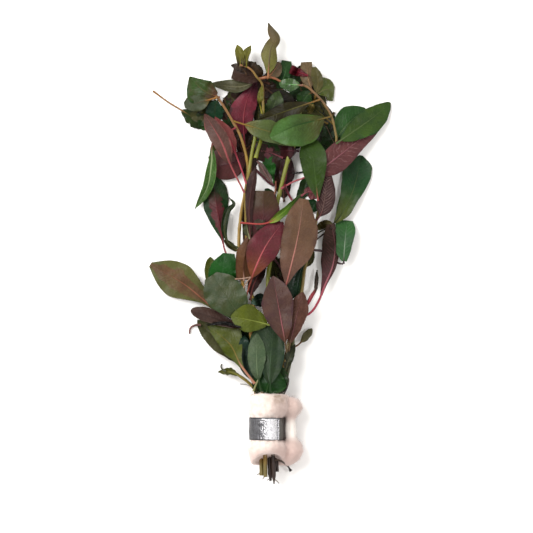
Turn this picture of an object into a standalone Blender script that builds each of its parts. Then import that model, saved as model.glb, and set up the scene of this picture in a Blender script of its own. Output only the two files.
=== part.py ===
"""A cut bunch of Ludwigia peruensis, an aquarium plant, lying on its side.

Six stems and their leaves are held at the foot by a strip of filter wool, with a strip of soft lead bent
round it. The tips point to +Y, +Z is up, and the origin is at the middle of the bounding box, on the surface
that the bunch lies on. Everything is laid down in turn, as it came to lie: the leaves underneath first, then
the stems, then the leaves on top. Each piece drapes over what already lies there, and a height map of the
pile keeps them apart.
"""
import math

import bmesh
import bpy
import numpy as np
from mathutils import Vector

MM = 0.001

# The plan: places are counted in steps to the right and down on a square sheet under the bunch
PLAN_STEP = 0.54 * MM
PLAN_MIDDLE = (270.42, 252.39)

# Driving sizes
GAP = 0.36 * MM                 # kept between pieces that touch
CELL = 0.5 * MM                 # square of the height map
SHEET = (0.075, 0.140)          # half the height map, across and along
PETIOLE_RADIUS = 0.55 * MM
MIDRIB_THICK = 0.30 * MM        # half the thickness of a blade at its midrib
BLADE_THICK = 0.20 * MM         # and halfway out to its margin
TIP_HALF_WIDTH = 0.45 * MM
TIP_THICK = 0.14 * MM
RING_SPACING = 9.0 * MM         # between rings along a petiole
ROUTE_STEPS = 24                # points of a smooth route from one knot to the next
BLADE_RINGS = (0.12, 0.30, 0.50, 0.70, 0.88, 1.0)
SMALL_BLADE_RINGS = (0.15, 0.40, 0.65, 0.86, 1.0)
SMALL_BLADE = 20 * MM           # a blade shorter than this takes fewer rings

# Where the five columns of a leaf and of a round stem lie, from one margin to the other
LEAF_COLUMNS = np.array([-1.0, -0.5, 0.0, 0.5, 1.0])
ROUND_COLUMNS = np.array([-1.0, -math.sqrt(0.5), 0.0, math.sqrt(0.5), 1.0])
ROUND_THICK = np.array([0.0, math.sqrt(0.5), 1.0, math.sqrt(0.5), 0.0])

# Colour, roughness and metallic value of each finish
FINISHES = {
    "leaf_green": ((0.050, 0.120, 0.030), 0.45, 0.0),
    "leaf_dark_green": ((0.022, 0.060, 0.025), 0.40, 0.0),
    "leaf_olive": ((0.110, 0.115, 0.035), 0.48, 0.0),
    "leaf_brown": ((0.120, 0.065, 0.040), 0.50, 0.0),
    "leaf_red": ((0.150, 0.035, 0.035), 0.48, 0.0),
    "leaf_purple": ((0.070, 0.030, 0.032), 0.45, 0.0),
    "stem": ((0.330, 0.240, 0.060), 0.50, 0.0),
    "wool": ((0.860, 0.800, 0.760), 0.95, 0.0),
    "lead": ((0.180, 0.180, 0.185), 0.38, 1.0),
}


def clear_scene():
    """Start from an empty scene."""
    for old in list(bpy.data.objects):
        bpy.data.objects.remove(old)


def finish(name):
    """The material of one finish, made when it is first asked for."""
    material = bpy.data.materials.get(name)
    if material is None:
        colour, roughness, metallic = FINISHES[name]
        material = bpy.data.materials.new(name)
        material.use_nodes = True
        shader = material.node_tree.nodes["Principled BSDF"]
        shader.inputs["Base Color"].default_value = (*colour, 1.0)
        shader.inputs["Roughness"].default_value = roughness
        shader.inputs["Metallic"].default_value = metallic
    return material


def place(spot):
    """A spot of the plan sheet, in metres."""
    return np.array([(spot[0] - PLAN_MIDDLE[0]) * PLAN_STEP, (PLAN_MIDDLE[1] - spot[1]) * PLAN_STEP])


def plan_spot(point):
    """The spot of the plan sheet under a point."""
    return (point[0] / PLAN_STEP + PLAN_MIDDLE[0], PLAN_MIDDLE[1] - point[1] / PLAN_STEP)


def smooth_route(knots, steps=ROUTE_STEPS):
    """Points of a smooth curve through the knots, and how far along it each one is."""
    knots = np.asarray(knots, dtype=float)
    padded = np.vstack([2 * knots[0] - knots[1], knots, 2 * knots[-1] - knots[-2]])
    curve = [knots[0]]
    for a, b, c, d in zip(padded, padded[1:], padded[2:], padded[3:]):
        for t in np.linspace(0, 1, steps + 1)[1:]:
            curve.append(0.5 * (2 * b + (c - a) * t + (2 * a - 5 * b + 4 * c - d) * t**2
                                + (3 * b - a - 3 * c + d) * t**3))
    curve = np.array(curve)
    lengths = np.concatenate([[0], np.cumsum(np.linalg.norm(np.diff(curve[:, :2], axis=0), axis=1))])
    return curve, lengths


def at_shares(curve, lengths, shares):
    """Places on a curve at shares of its length."""
    wanted = np.asarray(shares) * lengths[-1]
    return np.stack([np.interp(wanted, lengths, curve[:, k]) for k in range(curve.shape[1])], axis=1)


def side_ways(curve, lengths, shares):
    """Level unit vectors square to a curve, pointing to its right, at shares of its length."""
    ahead = at_shares(curve, lengths, np.clip(np.asarray(shares) + 0.02, 0, 1))
    behind = at_shares(curve, lengths, np.clip(np.asarray(shares) - 0.02, 0, 1))
    along = (ahead - behind)[:, :2]
    along /= np.linalg.norm(along, axis=1)[:, None]
    return np.stack([along[:, 1], -along[:, 0]], axis=1)


def upsample(rings, along, across):
    """Points between the rings and columns of a loft, evenly in each patch."""
    count_s, count_t = rings.shape[:2]
    s = np.linspace(0, count_s - 1, (count_s - 1) * along + 1)
    t = np.linspace(0, count_t - 1, (count_t - 1) * across + 1)
    i = np.minimum(s.astype(int), count_s - 2)
    j = np.minimum(t.astype(int), count_t - 2)
    fs = (s - i)[:, None, None]
    ft = (t - j)[None, :, None]
    near = rings[i][:, j] * (1 - ft) + rings[i][:, j + 1] * ft
    far = rings[i + 1][:, j] * (1 - ft) + rings[i + 1][:, j + 1] * ft
    return near * (1 - fs) + far * fs


class Pile:
    """Height of what lies on the surface so far, on a grid of small squares."""

    def __init__(self):
        self.shape = (int(2 * SHEET[0] / CELL), int(2 * SHEET[1] / CELL))
        self.height = np.full(self.shape, -GAP)
        self.wide = self.height.copy()

    def cells(self, points):
        i = ((points[..., 0] + SHEET[0]) / CELL).astype(int)
        j = ((points[..., 1] + SHEET[1]) / CELL).astype(int)
        return np.clip(i, 1, self.shape[0] - 2), np.clip(j, 1, self.shape[1] - 2)

    def under(self, points):
        """Height of the pile at the points, and in the squares around them."""
        i, j = self.cells(points)
        return self.wide[i, j]

    def lay(self, points):
        """Add a surface to the pile."""
        i, j = self.cells(points)
        np.maximum.at(self.height, (i, j), points[..., 2])
        wide = self.height.copy()
        for di in (-1, 0, 1):
            for dj in (-1, 0, 1):
                wide[1:-1, 1:-1] = np.maximum(wide[1:-1, 1:-1],
                                              self.height[1 + di:self.shape[0] - 1 + di,
                                                          1 + dj:self.shape[1] - 1 + dj])
        self.wide = wide


# Sample points of a loft that are compared with the pile, from ring to ring and from column to column
ALONG = 18
ACROSS = 10


def settle(pile, rings, thick, free=None):
    """Lift each ring of a loft just enough to clear the pile, then add the loft to it.

    rings holds the middle surface, one row of columns to a ring, and thick half its thickness there. free is
    the middle and the radius of a round patch that is left out, where the piece grows out of what it lies on.
    """
    under = rings.copy()
    under[..., 2] -= thick
    fine = upsample(under, ALONG, ACROSS)
    need = pile.under(fine) + GAP - fine[..., 2]
    if free is not None:
        away = np.hypot(fine[..., 0] - free[0][0], fine[..., 1] - free[0][1])
        need = np.where(away < free[1], 0.0, need)
    need = np.maximum(need.max(axis=1), 0.0)
    count = len(rings)
    lifts = np.array([need[max(0, (k - 1) * ALONG):(k + 1) * ALONG + 1].max() for k in range(count)])
    if free is not None:
        lifts[0] = 0.0
    rings = rings.copy()
    rings[..., 2] += lifts[:, None]
    over = rings.copy()
    over[..., 2] += thick
    pile.lay(upsample(over, ALONG, ACROSS))
    return rings, lifts


def loft(name, slot, rings, thick):
    """A closed solid through rings of eight vertices, each extruded from the one before it."""
    bm = bmesh.new()
    bmesh.ops.create_circle(bm, cap_ends=True, segments=8, radius=1.0)
    bm.faces.ensure_lookup_table()
    end = bm.faces[0]
    for k, (ring, half) in enumerate(zip(rings, thick)):
        if k:
            before = end
            grown = bmesh.ops.extrude_face_region(bm, geom=[before])
            end = next(item for item in grown["geom"] if isinstance(item, bmesh.types.BMFace))
            if k > 1:
                bmesh.ops.delete(bm, geom=[before], context="FACES_ONLY")
        top = [(*ring[c, :2], ring[c, 2] + half[c]) for c in range(5)]
        bottom = [(*ring[c, :2], ring[c, 2] - half[c]) for c in (3, 2, 1)]
        for corner, spot in zip(end.loops, top + bottom):
            corner.vert.co = Vector(spot)
    bmesh.ops.recalc_face_normals(bm, faces=bm.faces)
    bmesh.ops.triangulate(bm, faces=bm.faces)
    mesh = bpy.data.meshes.new(name)
    bm.to_mesh(mesh)
    bm.free()
    mesh.shade_smooth()
    mesh.set_sharp_from_angle(angle=math.radians(50))
    mesh.materials.append(finish(slot))
    piece = bpy.data.objects.new(name, mesh)
    bpy.context.collection.objects.link(piece)
    return piece


def leaf_shares(length, petiole):
    """Shares of a leaf's length at which its rings stand."""
    blade = length * (1 - petiole)
    rings = BLADE_RINGS if blade > SMALL_BLADE else SMALL_BLADE_RINGS
    spans = max(1, round(length * petiole / RING_SPACING))
    return np.concatenate([np.linspace(0, petiole, spans + 1), petiole + (1 - petiole) * np.array(rings)])


def blade_half_width(shares, petiole, width, belly, blunt):
    """Half the width of a leaf at shares of its length: a petiole, then a blade widest at its belly."""
    u = np.clip((np.asarray(shares) - petiole) / (1 - petiole), 0, 1)
    wave = np.sin(np.pi * u ** (math.log(0.5) / math.log(belly)))
    blade = 0.5 * width * np.clip(wave, 0, 1) ** blunt
    least = np.where(u <= 0, PETIOLE_RADIUS, PETIOLE_RADIUS + (TIP_HALF_WIDTH - PETIOLE_RADIUS) * u)
    return np.maximum(blade, least)


def leaf_rings(foot_height, foot, tip, width, via=(), petiole=0.2, belly=0.48, blunt=0.8, arch=2.0,
               rest=1.0, fold=0.0, roll=0.0, droop=1.4):
    """Middle surface and half thickness of a leaf before it is laid down.

    foot, via and tip are spots of the plan, the rest are in millimetres or shares. arch lifts the middle of
    the blade, rest is the height of the tip, fold raises both margins and roll one, as slopes.
    """
    curve, lengths = smooth_route([place(foot), *(place(spot) for spot in via), place(tip)])
    shares = leaf_shares(lengths[-1], petiole)
    middle = at_shares(curve, lengths, shares)
    side = side_ways(curve, lengths, shares)
    half = blade_half_width(shares, petiole, width * MM, belly, blunt)
    u = np.clip((shares - petiole) / (1 - petiole), 0, 1)
    height = rest * MM + (foot_height - rest * MM) * (1 - shares) ** droop
    height += arch * MM * np.sin(np.pi * shares)
    rings = np.zeros((len(shares), 5, 3))
    reach = LEAF_COLUMNS[None, :] * half[:, None]
    rings[..., :2] = middle[:, None, :] + reach[..., None] * side[:, None, :]
    rings[..., 2] = height[:, None] + fold * np.abs(reach) + roll * reach
    flat = np.clip(u * 5, 0, 1)[:, None]
    taper = np.where(u >= 1, TIP_THICK / MIDRIB_THICK, 1.0)[:, None]
    leaf_thick = np.array([0, BLADE_THICK, MIDRIB_THICK, BLADE_THICK, 0])[None, :] * taper
    thick = (1 - flat) * PETIOLE_RADIUS * ROUND_THICK[None, :] + flat * leaf_thick
    return rings, thick


def stem_rings(route, radius, taper=0.85):
    """Middle surface and half thickness of a round stem along spots of the plan with their heights in mm."""
    knots = [(*place(knot[:2]), knot[2] * MM) for knot in route]
    curve, lengths = smooth_route(knots)
    shares = lengths[::ROUTE_STEPS] / lengths[-1]
    count = len(shares)
    middle = at_shares(curve, lengths, shares)
    side = side_ways(curve, lengths, shares)
    size = radius * MM * (1 + (taper - 1) * shares)
    rings = np.zeros((count, 5, 3))
    reach = ROUND_COLUMNS[None, :] * size[:, None]
    rings[..., :2] = middle[:, None, :2] + reach[..., None] * side[:, None, :]
    rings[..., 2] = middle[:, None, 2]
    return rings, size[:, None] * ROUND_THICK[None, :]


# The leaves that lie under the stems, from the surface up
UNDER_STEMS = [
    dict(name="leaf_left_loose", slot="leaf_dark_green", foot=(153, 91), via=[(168, 102), (186, 113)],
         tip=(211, 129), width=9.0, petiole=0.50, belly=0.45, height=0.6, arch=0.8, rest=0.4, fold=0.15),
    dict(name="leaf_left_top", slot="leaf_green", foot=(217, 98), via=[(205, 91)], tip=(187.5, 83),
         width=13.0, petiole=0.12, belly=0.6, blunt=0.55, height=5.0, arch=3.0, rest=0.8, fold=-0.15,
         roll=-0.15),
    dict(name="leaf_left_blue_green", slot="leaf_dark_green", foot=(219, 99), via=[(215, 108)],
         tip=(216, 124), width=9.5, petiole=0.10, height=4.6, arch=1.5, rest=0.8, roll=0.12),
    dict(name="leaf_left_dark", slot="leaf_purple", foot=(247, 159), via=[(234, 164)], tip=(211, 171),
         width=17.0, petiole=0.15, belly=0.55, blunt=0.65, height=4.6, arch=1.5, rest=0.7, fold=-0.10),
    dict(name="leaf_crown_crimson", slot="leaf_red", foot=(247.5, 163), via=[(244, 138), (245, 108)],
         tip=(256, 79), width=14.5, petiole=0.34, belly=0.42, height=4.6, arch=1.2, rest=1.0, fold=0.14),
    dict(name="leaf_crown_grey", slot="leaf_olive", foot=(259, 80), via=[(240, 86)], tip=(210, 83),
         width=6.5, petiole=0.12, height=5.0, arch=2.5, rest=1.0, fold=-0.2),
    dict(name="leaf_crown_brown", slot="leaf_brown", foot=(258, 80), via=[(247, 77)], tip=(231.5, 72),
         width=10.5, petiole=0.10, belly=0.62, blunt=0.45, height=5.5, arch=3.2, rest=2.0, roll=0.15),
    dict(name="leaf_crown_dark", slot="leaf_dark_green", foot=(264.5, 80), via=[(258.5, 71)],
         tip=(245, 61.5), width=7.5, petiole=0.12, height=5.0, arch=3.5, rest=2.5, fold=-0.2),
    dict(name="leaf_centre_dark", slot="leaf_brown", foot=(265, 88), via=[(277, 97)], tip=(300, 112),
         width=11.0, petiole=0.10, height=4.6, arch=1.8, rest=1.0, fold=0.1),
    dict(name="leaf_centre_mottled", slot="leaf_green", foot=(264, 121), via=[(272, 110)], tip=(279, 91),
         width=10.0, petiole=0.14, height=4.6, arch=1.8, rest=2.0, roll=0.1),
    dict(name="leaf_right_crown_dark", slot="leaf_dark_green", foot=(314, 92), via=[(307, 96)],
         tip=(300, 108), width=9.0, petiole=0.14, height=5.6, arch=1.5, rest=1.5),
    dict(name="leaf_crown_green", slot="leaf_dark_green", foot=(281, 84), via=[(285, 74)], tip=(288, 60.5),
         width=8.5, petiole=0.08, blunt=0.6, height=5.0, arch=2.8, rest=2.5, fold=-0.2),
    dict(name="leaf_crown_tan", slot="leaf_olive", foot=(312, 92), via=[(308, 78)], tip=(307, 62),
         width=9.5, petiole=0.16, belly=0.6, blunt=0.5, height=5.5, arch=3.0, rest=2.5, roll=0.12),
    dict(name="leaf_crown_wet", slot="leaf_green", foot=(316, 95), via=[(325, 90)], tip=(335, 92),
         width=11.2, petiole=0.12, belly=0.55, blunt=0.5, height=5.6, arch=3.5, rest=1.2, fold=-0.25),
    dict(name="leaf_middle_dark", slot="leaf_purple", foot=(280, 195), via=[(286, 178)], tip=(287, 152),
         width=9.0, petiole=0.14, height=4.6, arch=1.0, rest=0.8, fold=0.2),
    dict(name="leaf_right_upper", slot="leaf_green", foot=(336, 140), via=[(346, 126)], tip=(365, 108),
         width=15.0, petiole=0.06, belly=0.5, blunt=0.7, height=4.6, arch=2.5, rest=0.8, fold=-0.08,
         roll=0.08),
    dict(name="leaf_right_broad", slot="leaf_dark_green", foot=(313, 236), via=[(334, 223), (345.5, 207),
         (354.5, 186)], tip=(361.5, 155.5), width=17.4, petiole=0.26, belly=0.68, blunt=0.66, height=4.6,
         arch=2.2, rest=0.4, fold=-0.06),
    dict(name="leaf_left_red_back", slot="leaf_red", foot=(241.5, 270), via=[(225.5, 254), (221, 236),
         (216.5, 208)], tip=(213, 180), width=13.2, petiole=0.34, belly=0.66, blunt=0.6, height=4.6,
         arch=1.8, rest=0.8, fold=-0.2),
    dict(name="leaf_left_round", slot="leaf_green", foot=(244, 303), via=[(229, 289), (223, 272)],
         tip=(224.5, 253), width=17.2, petiole=0.2, belly=0.6, blunt=0.5, height=4.6, arch=3.0, rest=1.5,
         fold=-0.1),
    dict(name="leaf_left_oval", slot="leaf_olive", foot=(249, 327), via=[(228, 319), (208.5, 304),
         (184, 284)], tip=(150.4, 264.4), width=18.8, petiole=0.30, belly=0.58, blunt=0.62, height=4.6,
         arch=2.6, rest=0.5, fold=0.08),
    dict(name="leaf_foot_outer", slot="leaf_olive", foot=(255, 385), via=[(244, 367), (236, 356),
         (217, 337)], tip=(198.5, 319), width=12.4, petiole=0.26, belly=0.5, blunt=0.7, height=5.2,
         arch=1.6, rest=0.5, fold=0.1),
]

# The stems, each with the small parts that grow on it; a route has heights in millimetres
STEMS = [
    dict(name="stem_right_short", slot="stem", radius=1.25,
         route=[(277, 470, 8.9), (275.6, 455, 9), (275.2, 430, 9), (276, 412, 9), (279, 398, 9),
                (285.5, 380, 8.5), (289.5, 362, 8), (292.5, 345, 7.5), (293, 334, 7)],
         grown=[
             dict(name="spatula", foot=(292.3, 348), via=[(299, 344), (305, 337)], tip=(313, 328),
                  width=4.6, petiole=0.35, belly=0.55, blunt=0.6, height=7.6, arch=0.8, rest=2.0),
         ]),
    dict(name="stem_left", slot="stem", radius=1.15,
         route=[(262, 474, 8.7), (260.5, 440, 8.7), (259, 418, 8.7), (256.5, 398, 8.8), (254.5, 370, 8.5),
                (252, 340, 8), (247, 310, 7.5), (243, 285, 7), (239, 245, 7), (241, 215, 7), (245, 193, 7),
                (248, 172, 7), (246, 155, 7), (240, 135, 7), (233, 122, 7), (226, 110, 7.2), (220, 101, 7.5),
                (216, 96, 7.5)],
         grown=[
             dict(name="hook_leaf", foot=(239.2, 248), via=[(229, 243), (224.5, 230), (228, 212),
                  (234, 204)], tip=(229, 197.5), width=3.0, petiole=0.2, height=6.8, arch=1.5, rest=4.0,
                  roll=0.4),
             dict(name="torn_stub", foot=(254.8, 388), via=[(243, 378), (231, 372)], tip=(218, 372),
                  width=3.4, petiole=0.4, belly=0.6, height=8.0, arch=1.0, rest=3.0),
         ]),
    dict(name="stem_centre", slot="stem", radius=1.25,
         route=[(270.5, 479, 8.7), (269, 440, 8.7), (268.5, 418, 8.7), (268.5, 398, 8.7), (270, 360, 8),
                (270, 320, 7.5), (268, 282, 7), (270, 262, 7), (274, 235, 7), (277, 205, 7), (280, 192, 7),
                (284, 175, 7), (289, 157, 7), (294, 145, 7), (298, 128, 7), (300, 108, 7.5)]),
    dict(name="stem_centre_left", slot="stem", radius=1.05,
         route=[(265.5, 475, 11.6), (264.7, 440, 11.6), (264, 418, 11.6), (263, 398, 11.6), (261, 370, 10),
                (258, 340, 9), (252.5, 300, 8.5), (248, 262, 8), (246.8, 235, 8), (246, 205, 8),
                (248, 180, 8), (250, 165, 8), (252.5, 150, 7.5), (255, 138, 7.5), (256.5, 127, 7.5)]),
    dict(name="stem_right", slot="stem", radius=1.15,
         route=[(274, 482, 11.6), (272.7, 440, 11.6), (272.7, 418, 11.6), (274.5, 398, 11.6),
                (281, 376, 11), (286, 356, 10.5), (291, 333, 9), (298, 310, 8), (302, 290, 7.5),
                (304.5, 270, 7), (308, 255, 7), (313, 235, 7), (320, 205, 7), (330, 170, 7), (336, 143, 7),
                (335, 131, 7), (331, 116, 7.2), (324, 104, 7.5), (316, 95, 8), (308, 88, 8.5),
                (301.5, 85, 8.5)],
         grown=[
             dict(name="twin_bud", foot=(297.6, 311), via=[(307, 307), (313, 297), (316.3, 288)],
                  tip=(317, 270), width=3.2, petiole=0.5, belly=0.5, height=7.8, arch=1.0, rest=4.0),
         ]),
    dict(name="stem_crown", slot="stem", radius=0.95,
         route=[(256, 157, 7.6), (258, 150, 7.5), (261.5, 138, 7.5), (263.5, 120, 7.5), (263, 100, 7.8),
                (263, 90, 8), (261.5, 83, 8.2), (257, 78, 8.5), (252.5, 71.5, 8.5), (247, 67.5, 8.5),
                (240, 65.5, 8.5)],
         grown=[
             dict(name="side_shoot", foot=(262, 84), via=[(268, 78), (275, 79)], tip=(281, 82), width=1.6,
                  petiole=0.9, height=8.0, arch=0.4, rest=8.0),
             dict(name="curled_leaf", foot=(267, 79), via=[(273, 72)], tip=(280, 62.5), width=6.4,
                  petiole=0.1, height=8.3, arch=2.6, rest=4.0, blunt=0.6, fold=-0.3),
             dict(name="bud_leaf_left", foot=(243, 66), via=[(240, 58)], tip=(237, 45), width=4.8,
                  petiole=0.1, height=8.4, arch=1.0, rest=6.0, fold=0.3),
             dict(name="bud_leaf_right", foot=(245.5, 66.5), via=[(247, 58)], tip=(250.5, 46), width=4.8,
                  petiole=0.1, height=8.5, arch=1.0, rest=7.0, fold=0.3),
         ]),
]

# The leaves that lie over the stems, from the lowest up
OVER_STEMS = [
    dict(name="leaf_left_olive", slot="leaf_olive", foot=(217, 98), via=[(206, 101)], tip=(184.5, 106),
         width=8.5, petiole=0.28, blunt=0.6, arch=1.0, rest=3.0, fold=-0.12),
    dict(name="leaf_left_folded", slot="leaf_green", foot=(236, 128), via=[(214, 141), (211.5, 163),
         (207.5, 187)], tip=(195, 209), width=5.6, petiole=0.30, belly=0.5, arch=1.2, rest=2.2, fold=0.5),
    dict(name="leaf_left_crimson", slot="leaf_red", foot=(246.3, 184), via=[(239.5, 164), (229.5, 140)],
         tip=(215, 117), width=8.2, petiole=0.42, belly=0.5, arch=1.0, rest=3.0, roll=-0.2),
    dict(name="leaf_left_mauve", slot="leaf_brown", foot=(244.5, 193), via=[(231, 166), (221, 141)],
         tip=(204.5, 114), width=9.8, petiole=0.36, belly=0.5, blunt=0.7, arch=1.2, rest=3.0, fold=0.12),
    dict(name="leaf_crossing_dark", slot="leaf_olive", foot=(320, 100), via=[(290, 110)], tip=(256, 122),
         width=10.0, petiole=0.14, belly=0.55, arch=1.5, rest=3.0, fold=0.1),
    dict(name="leaf_centre_narrow", slot="leaf_purple", foot=(247.2, 246), via=[(250.5, 210)],
         tip=(256, 163), width=5.6, petiole=0.10, belly=0.5, arch=1.2, rest=6.0, fold=0.25),
    dict(name="leaf_centre_purple", slot="leaf_brown", foot=(249, 263), via=[(261, 238)], tip=(266.5, 189),
         width=17.5, petiole=0.10, belly=0.58, blunt=0.65, arch=1.8, rest=5.0, fold=0.06),
    dict(name="leaf_centre_brown", slot="leaf_brown", foot=(243.5, 287), via=[(243, 268)], tip=(248, 236),
         width=8.4, petiole=0.12, belly=0.5, blunt=0.6, arch=1.5, rest=6.0, fold=-0.15),
    dict(name="leaf_centre_crimson", slot="leaf_red", foot=(245.2, 300), via=[(254, 272), (266, 246)],
         tip=(283, 222), width=15.5, petiole=0.26, belly=0.52, blunt=0.75, arch=2.0, rest=5.0, fold=0.18),
    dict(name="leaf_centre_strip", slot="leaf_green", foot=(240.2, 223), via=[(266, 224), (284, 213)],
         tip=(300, 191), width=4.4, petiole=0.40, belly=0.4, arch=0.8, rest=5.0, roll=0.5),
    dict(name="leaf_right_veined", slot="leaf_brown", foot=(316.3, 221), via=[(323, 208)], tip=(327.5, 175),
         width=9.5, petiole=0.12, belly=0.5, arch=1.5, rest=3.5, fold=0.1),
    dict(name="leaf_right_mauve", slot="leaf_red", foot=(280.8, 189), via=[(293, 182), (306, 177),
         (330, 163)], tip=(385, 119), width=13.4, petiole=0.30, belly=0.36, blunt=0.9, arch=1.5, rest=1.5,
         fold=0.12),
    dict(name="leaf_right_long", slot="leaf_green", foot=(336, 144), via=[(353, 132), (374, 117)],
         tip=(390.3, 102.5), width=13.5, petiole=0.08, belly=0.52, blunt=0.65, arch=2.6, rest=1.0,
         fold=-0.06),
    dict(name="leaf_right_green", slot="leaf_green", foot=(320.5, 206), via=[(317, 180)], tip=(306, 140.5),
         width=14.0, petiole=0.10, belly=0.58, blunt=0.65, arch=2.0, rest=4.0, fold=-0.05),
    dict(name="leaf_crossing_olive", slot="leaf_olive", foot=(233.5, 121.5), via=[(252, 127), (275, 134)],
         tip=(300, 145), width=12.8, petiole=0.16, belly=0.5, blunt=0.75, arch=1.8, rest=5.0, fold=0.08),
    dict(name="leaf_crossing_bright", slot="leaf_green", foot=(330.8, 117), via=[(311, 122), (293, 127)],
         tip=(270.5, 138), width=16.2, petiole=0.12, belly=0.6, blunt=0.65, arch=2.6, rest=6.0, fold=0.12),
    dict(name="leaf_crown_bright", slot="leaf_green", foot=(302.5, 86), via=[(293, 85)], tip=(279, 84),
         width=7.4, petiole=0.12, belly=0.5, blunt=0.6, arch=2.0, rest=5.5, fold=-0.1),
    dict(name="leaf_tip_twisted", slot="leaf_olive", foot=(268, 78), via=[(267.6, 60), (270.5, 48),
         (274, 39)], tip=(268.3, 23), width=8.9, petiole=0.10, belly=0.42, blunt=0.8, arch=2.0, rest=5.0,
         roll=0.25),
    dict(name="leaf_right_purple", slot="leaf_purple", foot=(296, 319), via=[(310, 313), (318.5, 301),
         (323.8, 284), (328, 258)], tip=(331.5, 227), width=10.3, petiole=0.38, belly=0.5, blunt=0.75,
         arch=1.0, rest=1.5, fold=0.12),
    dict(name="leaf_right_small", slot="leaf_green", foot=(309, 251), via=[(324, 253), (337, 260),
         (343.5, 245)], tip=(351, 218.5), width=10.8, petiole=0.42, belly=0.5, blunt=0.45, arch=1.0,
         rest=2.0, fold=0.08),
    dict(name="leaf_foot_collar", slot="leaf_green", foot=(266, 394), via=[(268, 385)], tip=(272, 367),
         width=15.5, petiole=0.06, belly=0.4, blunt=0.55, arch=1.0, rest=12.0, fold=-0.25),
    dict(name="leaf_foot_dark", slot="leaf_dark_green", foot=(270.5, 393), via=[(270, 365)], tip=(273, 326),
         width=14.0, petiole=0.14, belly=0.55, blunt=0.65, arch=1.5, rest=7.0, fold=-0.12),
    dict(name="leaf_foot_grey", slot="leaf_dark_green", foot=(261.3, 391), via=[(257, 368)], tip=(257, 333),
         width=10.0, petiole=0.20, belly=0.5, blunt=0.7, arch=1.5, rest=7.5, fold=-0.15),
    dict(name="leaf_foot_yellow", slot="leaf_olive", foot=(254.7, 383), via=[(243, 362), (231, 343)],
         tip=(208, 326), width=14.0, petiole=0.26, belly=0.5, blunt=0.7, arch=1.8, rest=1.5, fold=0.1),
    dict(name="leaf_left_rolled", slot="leaf_brown", foot=(249.5, 332), via=[(236, 327), (215, 318)],
         tip=(191, 310), width=7.4, petiole=0.22, belly=0.6, blunt=0.55, arch=1.2, rest=3.0, fold=-0.4),
    dict(name="leaf_left_glossy", slot="leaf_olive", foot=(248.5, 324), via=[(237.5, 312), (225, 293)],
         tip=(213, 271), width=21.5, petiole=0.10, belly=0.52, blunt=0.55, arch=3.0, rest=4.0, fold=-0.08),
    dict(name="leaf_middle_yellow", slot="leaf_olive", foot=(270, 325), via=[(255, 321)], tip=(231, 316),
         width=14.5, petiole=0.06, belly=0.5, blunt=0.7, arch=2.2, rest=6.5, fold=0.06),
    dict(name="leaf_middle_hanging", slot="leaf_dark_green", foot=(306, 261), via=[(300, 272)],
         tip=(295.5, 298), width=9.0, petiole=0.10, belly=0.5, arch=1.5, rest=4.0, fold=-0.15),
    dict(name="leaf_middle_broad", slot="leaf_brown", foot=(270, 317), via=[(282, 297), (292, 262),
         (299, 230)], tip=(303.5, 199), width=18.8, petiole=0.20, belly=0.58, blunt=0.75, arch=2.4,
         rest=7.0, fold=0.12),
    dict(name="leaf_middle_red_brown", slot="leaf_brown", foot=(288.5, 351), via=[(293, 330)],
         tip=(303, 292), width=11.5, petiole=0.12, belly=0.55, blunt=0.7, arch=1.6, rest=5.0, roll=-0.12),
    dict(name="leaf_middle_mauve", slot="leaf_brown", foot=(286.8, 352), via=[(282, 325)], tip=(273, 276),
         width=16.5, petiole=0.12, belly=0.56, blunt=0.75, arch=2.6, rest=7.0, fold=0.14),
]

# The wool: a roll round the stems. Heights and reaches are in millimetres, edges are steps of the plan
WOOL_MIDDLE = 266.5
WOOL_HEIGHT = 10.1
WOOL_SIDES = 14
CHANNEL_HALF_HEIGHT = 3.9
WOOL_RINGS = [
    dict(row=393.0, left=-8.6, right=10.8, half_height=7.6, channel=(-7.8, 9.6)),
    dict(row=396.0, left=-9.4, right=11.8, half_height=9.6, channel=(-7.8, 9.4)),
    dict(row=401.0, left=-10.0, right=12.4, half_height=11.0, channel=(-7.6, 8.9)),
    dict(row=408.0, left=-10.2, right=12.2, half_height=11.3, channel=(-7.2, 8.2)),
    dict(row=413.5, left=-9.8, right=11.0, half_height=10.6, channel=(-6.8, 7.6)),
    dict(row=416.6, left=-8.7, right=8.7, half_height=8.7, channel=(-6.6, 7.4)),
    dict(row=440.4, left=-8.7, right=8.7, half_height=8.7, channel=(-6.4, 7.4)),
    dict(row=443.5, left=-9.8, right=11.0, half_height=10.6, channel=(-6.4, 7.4)),
    dict(row=448.0, left=-10.2, right=11.8, half_height=11.3, channel=(-6.4, 7.4)),
    dict(row=459.0, left=-9.0, right=10.4, half_height=9.4, channel=(-6.2, 7.6)),
    dict(row=461.5, left=-8.2, right=8.6, half_height=7.4, channel=(-6.0, 7.6)),
]
TAIL_SIDES = 10
TAIL_RINGS = [
    dict(row=396.5, left=10.8, right=14.0, low=5.0, high=11.0),
    dict(row=400.0, left=10.4, right=18.0, low=1.0, high=13.5),
    dict(row=407.0, left=9.8, right=20.2, low=0.0, high=14.5),
    dict(row=413.0, left=9.2, right=18.0, low=1.0, high=13.5),
    dict(row=418.5, left=10.8, right=15.8, low=3.0, high=11.5),
    dict(row=438.5, left=10.8, right=16.2, low=3.0, high=11.5),
    dict(row=444.0, left=9.2, right=19.6, low=1.0, high=13.5),
    dict(row=451.0, left=9.0, right=20.2, low=0.0, high=14.5),
    dict(row=457.5, left=9.0, right=17.6, low=1.0, high=13.0),
    dict(row=462.0, left=9.2, right=12.6, low=5.0, high=10.0),
]

# The lead strip
BAND_ROWS = (417.2, 439.8)
BAND_RADIUS = 9.75 * MM
BAND_THICK = 0.65 * MM
BAND_SIDES = 28
LAP_FROM = math.radians(-35)
LAP_TO = math.radians(46)
LAP_RISE = 0.55 * MM


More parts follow.
